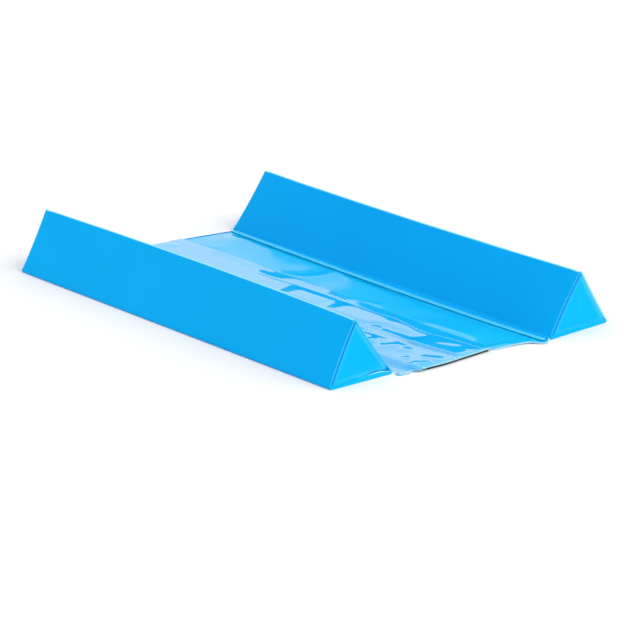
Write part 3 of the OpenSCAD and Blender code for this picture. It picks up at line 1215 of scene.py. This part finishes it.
# Small lifts that turn the slope of a wide fold back: x, y, length, heading in degrees, width, height.
UPPER_LIFTS = ((-2.0, -264.0, 24, -58, 4.5, 0.6), (4.0, -298.0, 16, -52, 4.0, 0.4))

# Flat pillows of the upper flap between its first two rows: rear end, front end, and rear slope, in mm.
PILLOWS = ((40.0, -62.0, 34.0), (-46.0, -225.0, 32.0))
PILLOW_FRONT_SLOPE = 45.0
# The pillows' slope to the first row, in mm: its width, its distance from the row, and what the width gains
# at one place and in the rear. Their slope from the pair: how far it stands off at the front, and its width.
FLANK, FLANK_CLEAR = 6.0, 1.0
FLANK_HUMP = ((8.0, -152.0, 15.0),)
FLANK_REAR = ((7.0, -90.0, -70.0),)
PAIR_OFF, PAIR_SLOPE = ((15.0, 128.0, 160.0),), 13.0

# The front slope of the upper flap, in mm: its mean fall per mm, how far its crest lies from the pair, its
# width and what that gains towards the front, how it rounds into its foot, and where it comes in.
RAMP_FALL = 0.062
RAMP_CREST = 2.4
RAMP_WIDTH, RAMP_GAINS = 13.0, ((4.0, 175.0, 215.0), (25.0, 212.0, 234.0))
RAMP_ROUND = 1.25
RAMP_START = (160.0, 175.0)

# The rise of the upper flap from the floor to the lap, from its sewn edge, and how much later it comes at
# the front hem and for what length, in mm.
LAP_RISE = (9.0, 25.0)
LATE_RISE, LATE_LENGTH = 7.0, 18.0
# Distances from the flap's ends over which its folds come in, in mm.
LOOSE = (0.5, 9.0)
# The flap's unevenness: height, slant, squeeze, size and seed, and where across the flap it comes in, in mm.
UPPER_UNEVEN, UPPER_STREAKS = 0.16, ((0.6, 0.8), 2.2, 38.0, 5.0)
UNEVEN_START = (-104.0, -90.0)
# The ends of the flap turn down into the hems: depth, width, and where across the flap that starts, in mm.
END_DROP, END_DROP_WIDTH, END_DROP_START = 0.7, 3.0, (-96.0, -86.0)
# The margin past the first row, in mm: how its curl changes along Y, one place where it dips, the width
# over which it curls, and how far it sinks to the lower flap at the front, to where and over what width.
MARGIN_STEPS = ((0.55, -20.0, 5.0), (-0.55, 50.0, 72.0), (0.6, 115.0, 140.0), (-0.9, 205.0, 245.0))
MARGIN_DIP = ((-0.6, 90.0, 22.0),)
MARGIN_WIDTH = (2.0, 16.0)
FRONT_SINK, FRONT_SINK_END, FRONT_SINK_WIDTH = 0.95, (-110.0, -50.0), (-11.0, 17.0)


def row_x(index, y):
    """X of a stitch row of the upper flap at y, in mm."""
    y = np.asarray(y, dtype=float)
    return ROWS[index] + np.zeros_like(y) + humps(y, ROW_DRIFT[index])


def folds(x, y, rows):
    """The summed height of soft folds at points in mm."""
    height = np.zeros_like(x)
    for x_start, y_start, x_end, y_end, width, rise in rows:
        along = np.array((x_end - x_start, y_end - y_start), dtype=float)
        length = np.linalg.norm(along)
        along /= length
        fall = np.array((-along[1], along[0]))
        fall *= np.sign(fall.sum())
        t = ((x - x_start) * along[0] + (y - y_start) * along[1]) / length
        across = (x - x_start) * fall[0] + (y - y_start) * fall[1]
        reach = fade(t, *FOLD_START) * (1 - fade(t, *FOLD_END))
        height += rise * reach * hump(across / width, -FOLD_SET_BACK, 1.0)
    return height


def lifts(x, y, rows):
    """The summed height of small soft ridges at points in mm."""
    height = np.zeros_like(x)
    for x_middle, y_middle, length, heading, width, rise in rows:
        angle = math.radians(heading)
        along = (x - x_middle) * math.cos(angle) + (y - y_middle) * math.sin(angle)
        across = -(x - x_middle) * math.sin(angle) + (y - y_middle) * math.cos(angle)
        height += rise * hump(along, 0.0, length / 2) * hump(across, 0.0, width)
    return height


def ramp(x, y):
    """Height of the slope that falls from the pair of rows to the first row, and widens to the front."""
    start = row_x(PAIR_ROW, y)
    crest = start + RAMP_CREST
    foot = ROWS[PAIR_ROW] + RAMP_WIDTH + fades(-y, RAMP_GAINS)
    share = np.clip((foot - x) / (foot - crest), 0.0, 1.0)
    height = RAMP_FALL * (foot - crest) * share ** RAMP_ROUND
    return height * fade(x, start, crest) * fade(-y, *RAMP_START)


def pillows(x, y):
    """Height of the flat pillows between the first row and the pair, from 0 to 1."""
    first = row_x(FIRST_ROW, y)
    flank = FLANK + humps(y, FLANK_HUMP) + fades(y, FLANK_REAR)
    inner = row_x(PAIR_ROW, y) + fades(-y, PAIR_OFF)
    across = (1 - fade(x, first - flank, first - FLANK_CLEAR)) * fade(x, inner, inner + PAIR_SLOPE)
    height = np.zeros_like(x)
    for rear, front, slope in PILLOWS:
        height += (1 - fade(y, rear - slope, rear)) * fade(y, front, front + PILLOW_FRONT_SLOPE) * across
    return height


def seam_hold(x, y):
    """0 on a stitch row of the upper flap, 1 well away from all of them."""
    hold = np.ones_like(x)
    for index, grip in enumerate(ROW_GRIP):
        hold *= 1 - grip * hump(x, row_x(index, y), GRIP_WIDTH)
    return hold


def row_puckers(x, y):
    """Height of the gathers beside the stitch rows, less the dents along them, in mm."""
    pucker = settings().sheet.pucker / MM
    height = np.zeros_like(x)
    for index in range(len(ROWS)):
        off = x - row_x(index, y)
        beat = np.sin(y / PUCKER_BEAT + BEAT_DRIFT * np.sin(y / BEAT_DRIFT_LENGTH + index) + index)
        height += pucker * hump(off, 0.0, PUCKER_WIDTH) * beat - DENT * hump(off, 0.0, DENT_WIDTH)
    return height


def margin_height(x, y):
    """Height of the margin past the tape, which curls up here and there, and sinks at the ends, in mm."""
    off = x - row_x(FIRST_ROW, y)
    curl = fades(y, MARGIN_STEPS) + humps(y, MARGIN_DIP)
    sunk = FRONT_SINK * (1 - fade(y, *FRONT_SINK_END)) * fade(off, *FRONT_SINK_WIDTH)
    return curl * fade(off, *MARGIN_WIDTH) - sunk


def upper_flap_height(x, y):
    """Middle of the upper flap's vinyl above the floor, in mm."""
    sizes = settings().sheet
    floor = sizes.vinyl / MM / 2
    top = UPPER_BOX[1][2] - floor
    front, rear = upper_ends(x)
    from_end = np.minimum(y - front, rear - y)
    late = LATE_RISE * (1 - fade(y - front, 0.0, LATE_LENGTH))
    z = floor + (top - floor) * fade(x - UPPER_SEWN, LAP_RISE[0] + late, LAP_RISE[1])
    hold = seam_hold(x, y)
    loose = fade(from_end, *LOOSE)
    z = z + loose * (sizes.pillow / MM * pillows(x, y) + ramp(x, y))
    z = z + loose * hold * (folds(x, y, UPPER_FOLDS) + lifts(x, y, UPPER_LIFTS))
    z = z + UPPER_UNEVEN * hold * streaks(x, y, *UPPER_STREAKS) * fade(x, *UNEVEN_START)
    z = z + row_puckers(x, y) + margin_height(x, y)
    return z - END_DROP * np.clip(1 - from_end / END_DROP_WIDTH, 0.0, 1.0) ** 2 * fade(x, *END_DROP_START)


# The lower flap's height

# Folds of the lower flap, in the form of the upper flap's.
LOWER_FOLDS = (
    (20, 96, 52, 52, 15.0, 2.8), (48, 54, 90, 38, 15.0, 2.7), (30, -38, 44, -90, 9.0, 1.3),
    (36, 262, 54, 226, 9.0, 0.6), (70, -120, 92, -190, 12.0, 0.6), (40, -176, 58, -254, 24.0, 2.1),
)
# Width of the bound seam that lies on the flap, and where the folds come in from the lap and go out to the
# seam, in mm.
SEAM_WIDTH = 10.0
FREE_START, FREE_END = (1.0, 16.0), 12.0
# The flap's unevenness: height, slant, squeeze, size and seed.
LOWER_UNEVEN, LOWER_STREAKS = 0.15, ((0.9, 0.4), 2.0, 60.0, 9.0)
# The long wave: its share at the front and where it grows full, how far it starts under the lap and crests
# before the seam, how late it rises, and how it falls to the seam and to the rear, in mm.
WAVE_LEAST, WAVE_GROWS = 0.28, (-190.0, 70.0)
WAVE_UNDER_LAP, WAVE_CREST, WAVE_LATE = 2.0, 12.0, 1.7
WAVE_FALL, WAVE_REAR = 14.0, 55.0
# The roll of the front edge: height, distance behind the edge and spread, and where across the flap it
# comes in and goes out, in mm.
EDGE_ROLL, EDGE_ROLL_BEHIND, EDGE_ROLL_SPREAD = 1.4, 8.0, 5.0
EDGE_ROLL_START, EDGE_ROLL_END = (22.0, 30.0), (50.0, 75.0)


def lower_flap_height(x, y):
    """Middle of the lower flap's vinyl above the floor, in mm."""
    sizes = settings().sheet
    seam = Section("right").edge_x(y) - seam_reach("right", y) - SEAM_WIDTH
    front, rear = lower_ends(x)
    free = fade(x - UPPER_FREE, *FREE_START) * fade(seam - x, 0.0, FREE_END)
    small = folds(x, y, LOWER_FOLDS) + LOWER_UNEVEN * (1 + streaks(x, y, *LOWER_STREAKS))
    # One long wave rises from the lap and falls to the seam, higher towards the rear.
    size = WAVE_LEAST + (1 - WAVE_LEAST) * fade(y, *WAVE_GROWS)
    t = np.clip((x - UPPER_FREE + WAVE_UNDER_LAP) / (seam - WAVE_CREST - UPPER_FREE), 0.0, 1.0)
    wave = size * t ** WAVE_LATE * fade(seam - x, 0.0, WAVE_FALL) * fade(rear - y, 0.0, WAVE_REAR)
    # The front edge rolls over before the hem, most beside the lap.
    roll = EDGE_ROLL * hump(y - front, EDGE_ROLL_BEHIND, EDGE_ROLL_SPREAD)
    roll = roll * fade(x, *EDGE_ROLL_START) * (1 - fade(x, *EDGE_ROLL_END))
    return sizes.vinyl / MM / 2 + sizes.wave / MM * wave + free * small + roll


# The flaps

# Hems: the half height by the lap and at the rear, in mm, how much fuller a flap's front hem is than the
# setting says, breadth for height, distance from the flap's end, and where the hem thickens from the lap.
HEM_LEAST, HEM_REAR = 0.62, 0.9
HEM_FULLNESS = {"upper": 1.45, "lower": 1.0}
HEM_BREADTH = 1.4
HEM_INSET = 0.6
HEM_THICKENS = (2.0, 14.0)
HEM_POINTS = 60
HEM_OFF_FLOOR = 0.05
# How high the upper front hem hangs over the lower flap and over the tape's foot, and where it rises to
# each, from the lower flap's free edge and from the start of the tape, in mm.
OVER_FLAP, FLAP_STEP = 1.3, (-8.0, -5.5)
INTO_TAPE, TAPE_STEP = 0.1, (-2.0, 1.0)
# How far a sheet stays off its sewn edge, in mm.
SEWN_GAP = 0.6

# One flap: its body and finish, its sheet and its hems across the trough, where the hems thin out, the
# columns and rows of its grid, its plan, height and bow, and the pieces that it rests on.
Flap = namedtuple("Flap", "body surface span hem_span thin_at grid ends height bow rests_on")
FLAPS = {
    "lower": Flap(
        body="right_base", surface="lower", span=(LOWER_FREE, LOWER_SEWN - SEWN_GAP),
        hem_span=(UPPER_FREE - 2.0, LOWER_SEWN - 4.0), thin_at=UPPER_FREE, grid=(92, 250),
        ends=lower_ends, height=lower_flap_height, bow=lower_bow, rests_on=["right_bolster_cover"],
    ),
    "upper": Flap(
        body="left_base", surface="flap", span=(UPPER_SEWN + SEWN_GAP, UPPER_FREE),
        hem_span=(UPPER_SEWN - 3.0, UPPER_FREE - 1.0), thin_at=TAPE_START, grid=(86, 320),
        ends=upper_ends, height=upper_flap_height, bow=upper_bow,
        rests_on=["left_loop_tape", "right_loop_tape"],
    ),
}


def laid_sheet(name):
    """The sheet of a flap from a grid, laid to its plan and height, and given its thickness."""
    flap = FLAPS[name]
    sheet = grid_piece(f"{name}_sheet", *flap.grid)
    across, along, _ = grid_points(sheet).T
    x = flap.span[0] + across * (flap.span[1] - flap.span[0])
    front, rear = flap.ends(x)
    y = front + along * (rear - front)
    x = x + flap.bow(across, y)
    move_points(sheet, x, y, flap.height(x, y))
    pick(sheet)
    modifier = sheet.modifiers.new("Thickness", "SOLIDIFY")
    modifier.thickness = settings().sheet.vinyl
    modifier.offset = 0.0
    modifier.use_even_offset = True
    bpy.ops.object.modifier_apply(modifier=modifier.name)
    clean(sheet)
    dress(sheet, flap.surface, smooth_below=50)
    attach(sheet, flap.body)
    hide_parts(f"{name}_flap")
    return sheet


def hem_foot(x):
    """How low the upper front hem hangs at x, in mm: to the floor, to the lower flap, then to the tape."""
    foot = OVER_FLAP * fade(x - LOWER_FREE, *FLAP_STEP)
    tape = HOOK_BOX["left"][0][2] + INTO_TAPE
    return foot + (tape - foot) * fade(x - TAPE_START, *TAPE_STEP)


def end_hem(name, end):
    """The rolled hem at one end of a flap, thinning out towards the lap."""
    flap = FLAPS[name]
    x = np.linspace(*flap.hem_span, HEM_POINTS)
    front, rear = flap.ends(x)
    y = front + HEM_INSET if end == "front" else rear - HEM_INSET
    full = HEM_FULLNESS[name] * settings().sheet.hem / MM if end == "front" else HEM_REAR
    outer = x < flap.thin_at if name == "upper" else x > flap.thin_at
    size = HEM_LEAST + (full - HEM_LEAST) * outer * fade(np.abs(x - flap.thin_at), *HEM_THICKENS)
    top = flap.height(x, y) + size
    hangs = (name, end) == ("upper", "front")
    high = np.maximum(size, (top - hem_foot(x)) / 2) if hangs else size
    z = np.maximum(top - high, high + HEM_OFF_FLOOR)
    # The front hem is painted pale as a highlight, and the rear hem takes the dark seam colour as painted
    # shade.
    surface = "hem" if end == "front" else "seam"
    hem = round_cord(f"{name}_{end}_hem", np.column_stack((x, y, z)), HEM_BREADTH * size, high, surface)
    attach(hem, flap.body)
    return hem


class POSITIONER_OT_flaps(bpy.types.Operator):
    """Lay the two glossy flaps over each other, with their hems"""
    bl_idname = "positioner.flaps"
    bl_label = "Flaps"

    def execute(self, context):
        sheets = {name: laid_sheet(name) for name in FLAPS}
        for name, sheet in sheets.items():
            hems = [end_hem(name, end) for end in OUTWARD]
            if name == "lower":
                # The lower flap and its hems each get a mesh of their own.
                for piece in (sheet, *hems):
                    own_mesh(piece)
        return {"FINISHED"}


# Tape and stitching

# A strip of tape: its grid, the thickness of its woven edges, where the pile comes in from them, and how
# uneven the pile is, with the size, seed and set-down of its ripples, in mm.
TAPE_GRID = (40, 200)
TAPE_EDGE = 0.5
PILE_START = (2.2, 3.4)
PILE_UNEVEN, PILE_SIZE, PILE_SEED, PILE_DOWN = 0.09, 1.9, 4.0, 0.6
# A stitch row of the flap: how far it stays from the flap's ends, how its stitches bow, and how it wanders,
# as height, length and seed, in mm.
ROW_CLEAR = 2.0
STITCH_BOW = 0.12
ROW_WANDER = ((0.8, 55.0, 6.0), (0.35, 11.0, 2.0))
# A tuft of cut thread, in mm: how many ends, how far they stand out and spread, how deep they are rooted,
# their radius and bow, and how low a tip may lie. Their spread is drawn from noise at these steps.
TUFT_ENDS = 7
TUFT_OUT, TUFT_VARIES, TUFT_SPREAD = 2.0, 1.6, 2.6
TUFT_ROOT, TUFT_RADIUS, TUFT_BOW = 0.6, 0.33, 0.3
TUFT_LOWEST = 0.5
TUFT_UP = (0.1, 0.2, 1.0)
TUFT_STEPS = (1.7, 3.1)
# Which way a tuft at each end points, which ends of the stitch rows have one, and where it lies, in mm.
TUFT_WAY = {"front": (0.0, -1.0, 0.1), "rear": (0.0, 1.0, 0.1)}
ROW_TUFTS = ((0, "rear"), (1, "front"), (2, "front"), (3, "front"), (3, "rear"))
ROW_TUFT_IN, ROW_TUFT_LIFT, ROW_TUFT_SEED = 1.0, 0.5, 10.0
# Tufts at the ends of the bound seams: height in mm, size, seed, and how many mm of Y change it by one.
SEAM_TUFT_HEIGHT, SEAM_TUFT_SIZE = 2.0, 1.2
SEAM_TUFT_SEED, SEAM_TUFT_STEP = 30.0, 50.0


def tape_strip(name, box, upwards):
    """A strip of hook or loop tape: woven edges and a raised, slightly uneven field of pile."""
    low, high = box
    strip = grid_piece(name, *TAPE_GRID)
    bpy.ops.object.mode_set(mode="EDIT")
    bpy.ops.mesh.select_all(action="SELECT")
    bpy.ops.mesh.extrude_region_move(TRANSFORM_OT_translate={"value": UP})
    bpy.ops.object.mode_set(mode="OBJECT")
    across, along, layer = grid_points(strip).T
    width, _, full = high - low
    x = across * width
    front, rear = low[1] + lap_slip(x + low[0]), high[1] - rear_slip(x + low[0])
    y = front + along * (rear - front)
    field = fade(np.minimum(x, width - x), *PILE_START)
    uneven = PILE_UNEVEN * field * (ripple(x, y, PILE_SIZE, PILE_SEED) - PILE_DOWN)
    thick = np.where(layer > 0.5, TAPE_EDGE + (full - TAPE_EDGE) * field + uneven, 0.0)
    move_points(strip, x + low[0], y, low[2] + thick if upwards else high[2] - thick)
    clean(strip)
    dress(strip, "tape", smooth_below=35)
    return strip


class POSITIONER_OT_tape(bpy.types.Operator):
    """Lay the hook and loop strips inside the lap"""
    bl_idname = "positioner.tape"
    bl_label = "Hook and loop tape"

    def execute(self, context):
        for kind, boxes, body in (("hook", HOOK_BOX, "left_base"), ("loop", LOOP_BOX, "right_base")):
            for side in SIDES:
                strip = tape_strip(f"{side}_{kind}_tape", boxes[side], upwards=kind == "loop")
                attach(strip, body)
                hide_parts(f"{side}_{kind}_strip")
        return {"FINISHED"}


def flap_row(index):
    """A row of stitches that holds the tape under the upper flap."""
    sizes = settings().sheet
    front, rear = upper_ends(ROWS[index])
    middles = np.arange(float(front) + ROW_CLEAR, float(rear) - ROW_CLEAR, sizes.stitch_pitch / MM)
    x = row_x(index, middles)
    for height, length, seed in ROW_WANDER:
        x = x + height * np.array([wobble(y / length, index, seed) for y in middles])
    surface = sizes.vinyl / MM / 2 + THREAD_LIFT
    half = sizes.stitch_length / MM / 2
    starts, ends = (np.column_stack((x, y, upper_flap_height(x, y) + surface))
                    for y in (middles - half, middles + half))
    thread = sewn_thread(f"flap_stitch_row_{index + 1}", starts, ends, sizes.thread / MM, bow=STITCH_BOW)
    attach(thread, "left_base")


class POSITIONER_OT_stitching(bpy.types.Operator):
    """Sew the rows of stitches along the lap"""
    bl_idname = "positioner.stitching"
    bl_label = "Flap stitching"

    def execute(self, context):
        for index in range(len(ROWS)):
            flap_row(index)
        return {"FINISHED"}


def thread_tuft(name, place, end, seed, body, size=1.0):
    """A few cut thread ends that stand out of a seam's end."""
    place, out = np.array(place), np.array(TUFT_WAY[end])
    tips = []
    for k in range(int(TUFT_ENDS * size)):
        spread = np.array([wobble(seed, k * TUFT_STEPS[0], j * TUFT_STEPS[1]) for j in range(3)])
        tip = size * (out * (TUFT_OUT + TUFT_VARIES * abs(spread[0])) + TUFT_SPREAD * spread)
        tip[2] = max(tip[2], TUFT_LOWEST - place[2])
        tips.append(place + tip)
    roots = [place - TUFT_ROOT * out] * len(tips)
    tuft = sewn_thread(name, roots, tips, TUFT_RADIUS * size, TUFT_UP, TUFT_BOW)
    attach(tuft, body)


def row_tuft(number, row, end):
    """The cut thread at one end of a stitch row."""
    front, rear = upper_ends(ROWS[row])
    y = float(rear) - ROW_TUFT_IN if end == "rear" else float(front) + ROW_TUFT_IN
    x = float(row_x(row, y))
    z = float(upper_flap_height(np.array([x]), np.array([y]))[0]) + ROW_TUFT_LIFT
    thread_tuft(f"row_tuft_{number}", (x, y, z), end, ROW_TUFT_SEED + number - 1, "left_base")


def seam_tuft(side, end):
    """The cut thread at one end of a bound seam."""
    section = Section(side)
    y = section.end_y[end]
    x = section.edge_x(y) - section.sign * seam_reach(side, y)
    place = (x, y + END_REACH[side, end][0] * OUTWARD[end], SEAM_TUFT_HEIGHT)
    seed = SEAM_TUFT_SEED + y / SEAM_TUFT_STEP
    thread_tuft(f"{side}_{end}_seam_tuft", place, end, seed, f"{side}_base", SEAM_TUFT_SIZE)


class POSITIONER_OT_tufts(bpy.types.Operator):
    """Leave the cut thread ends where the seams stop"""
    bl_idname = "positioner.tufts"
    bl_label = "Thread ends"

    def execute(self, context):
        for number, (row, end) in enumerate(ROW_TUFTS, 1):
            row_tuft(number, row, end)
        for side in SIDES:
            for end in OUTWARD:
                seam_tuft(side, end)
        return {"FINISHED"}


# The stage

# Sizes of the stage in metres, the camera's sensor in mm, and the way that the soft light shines.
FLOOR_SIZE = 30.0
CLIP_END = 100.0
SENSOR_WIDTH = 36.0
KEY_DIRECTION = (-0.35, 0.75, -0.56)


def studio_floor():
    deselect()
    bpy.ops.mesh.primitive_plane_add(size=FLOOR_SIZE)
    floor = bpy.context.object
    floor.name = "studio_floor"
    dress(floor, "floor")


def studio_world(ambient):
    """A white room that lights the piece a little less than it shows to the camera and in reflections."""
    world = bpy.data.worlds.new("studio")
    world.use_nodes = True
    tree = world.node_tree
    sky = tree.nodes["Background"]
    sky.inputs["Color"].default_value = (1.0, 1.0, 1.0, 1.0)
    path = tree.nodes.new("ShaderNodeLightPath")
    seen = path.outputs["Is Camera Ray"]
    for output in ("Is Glossy Ray", "Is Transmission Ray"):
        either = tree.nodes.new("ShaderNodeMath")
        either.operation = "MAXIMUM"
        tree.links.new(seen, either.inputs[0])
        tree.links.new(path.outputs[output], either.inputs[1])
        seen = either.outputs[0]
    level = tree.nodes.new("ShaderNodeMapRange")
    level.inputs["To Min"].default_value = ambient
    level.inputs["To Max"].default_value = 1.0
    tree.links.new(seen, level.inputs["Value"])
    tree.links.new(level.outputs["Result"], sky.inputs["Strength"])
    return world


def soft_light(stage):
    light = bpy.data.lights.new("front_softlight", "SUN")
    light.energy = stage.key
    light.angle = stage.softness
    lamp = bpy.data.objects.new("front_softlight", light)
    lamp.rotation_euler = Vector(KEY_DIRECTION).to_track_quat("-Z", "Y").to_euler()
    return lamp


def photo_camera(stage):
    """The camera that was fitted to the photo."""
    azimuth, elevation = stage.azimuth, stage.elevation
    back = Vector((math.sin(azimuth) * math.cos(elevation), -math.cos(azimuth) * math.cos(elevation),
                   math.sin(elevation)))
    camera = bpy.data.objects.new("photo_camera", bpy.data.cameras.new("photo_camera"))
    camera.data.lens = stage.lens
    camera.data.sensor_width = SENSOR_WIDTH
    camera.data.clip_end = CLIP_END
    camera.location = Vector(stage.target) + back * stage.distance
    camera.rotation_euler = (-back).to_track_quat("-Z", "Y").to_euler()
    return camera


class POSITIONER_OT_stage(bpy.types.Operator):
    """Set the floor, the soft light and the camera"""
    bl_idname = "positioner.stage"
    bl_label = "Stage"

    def execute(self, context):
        scene, stage = context.scene, settings().stage
        studio_floor()
        scene.world = studio_world(stage.ambient)
        scene.collection.objects.link(soft_light(stage))
        camera = photo_camera(stage)
        scene.collection.objects.link(camera)
        scene.camera = camera
        scene.view_settings.view_transform = "Standard"
        return {"FINISHED"}


STEPS = (
    POSITIONER_OT_stage, POSITIONER_OT_cores, POSITIONER_OT_covers, POSITIONER_OT_bindings,
    POSITIONER_OT_tape, POSITIONER_OT_flaps, POSITIONER_OT_stitching, POSITIONER_OT_tufts,
)


class POSITIONER_PT_panel(bpy.types.Panel):
    """Lists the making of the positioner"""
    bl_idname = "POSITIONER_PT_panel"
    bl_label = "Wedge bolster positioner"
    bl_space_type = "VIEW_3D"
    bl_region_type = "UI"
    bl_category = "Positioner"

    def draw(self, context):
        for step in STEPS:
            self.layout.operator(step.bl_idname)
        chosen = context.scene.positioner
        for group in (chosen.covers, chosen.sheet, chosen.finishes, chosen.stage):
            box = self.layout.box()
            for name in group.__annotations__:
                box.prop(group, name)


CLASSES = (
    CoverSizes, SheetSizes, Finishes, StageSettings, PositionerSettings, *STEPS, POSITIONER_PT_panel,
)


def register():
    for item in CLASSES:
        bpy.utils.register_class(item)
    bpy.types.Scene.positioner = bpy.props.PointerProperty(type=PositionerSettings)


def unregister():
    del bpy.types.Scene.positioner
    for item in reversed(CLASSES):
        bpy.utils.unregister_class(item)


def main():
    register()
    bpy.ops.positioner.stage()
    bpy.ops.positioner.cores()
    bpy.ops.positioner.covers()
    bpy.ops.positioner.bindings()
    bpy.ops.positioner.tape()
    bpy.ops.positioner.flaps()
    bpy.ops.positioner.stitching()
    bpy.ops.positioner.tufts()
    deselect()


if __name__ == "__main__":
    main()
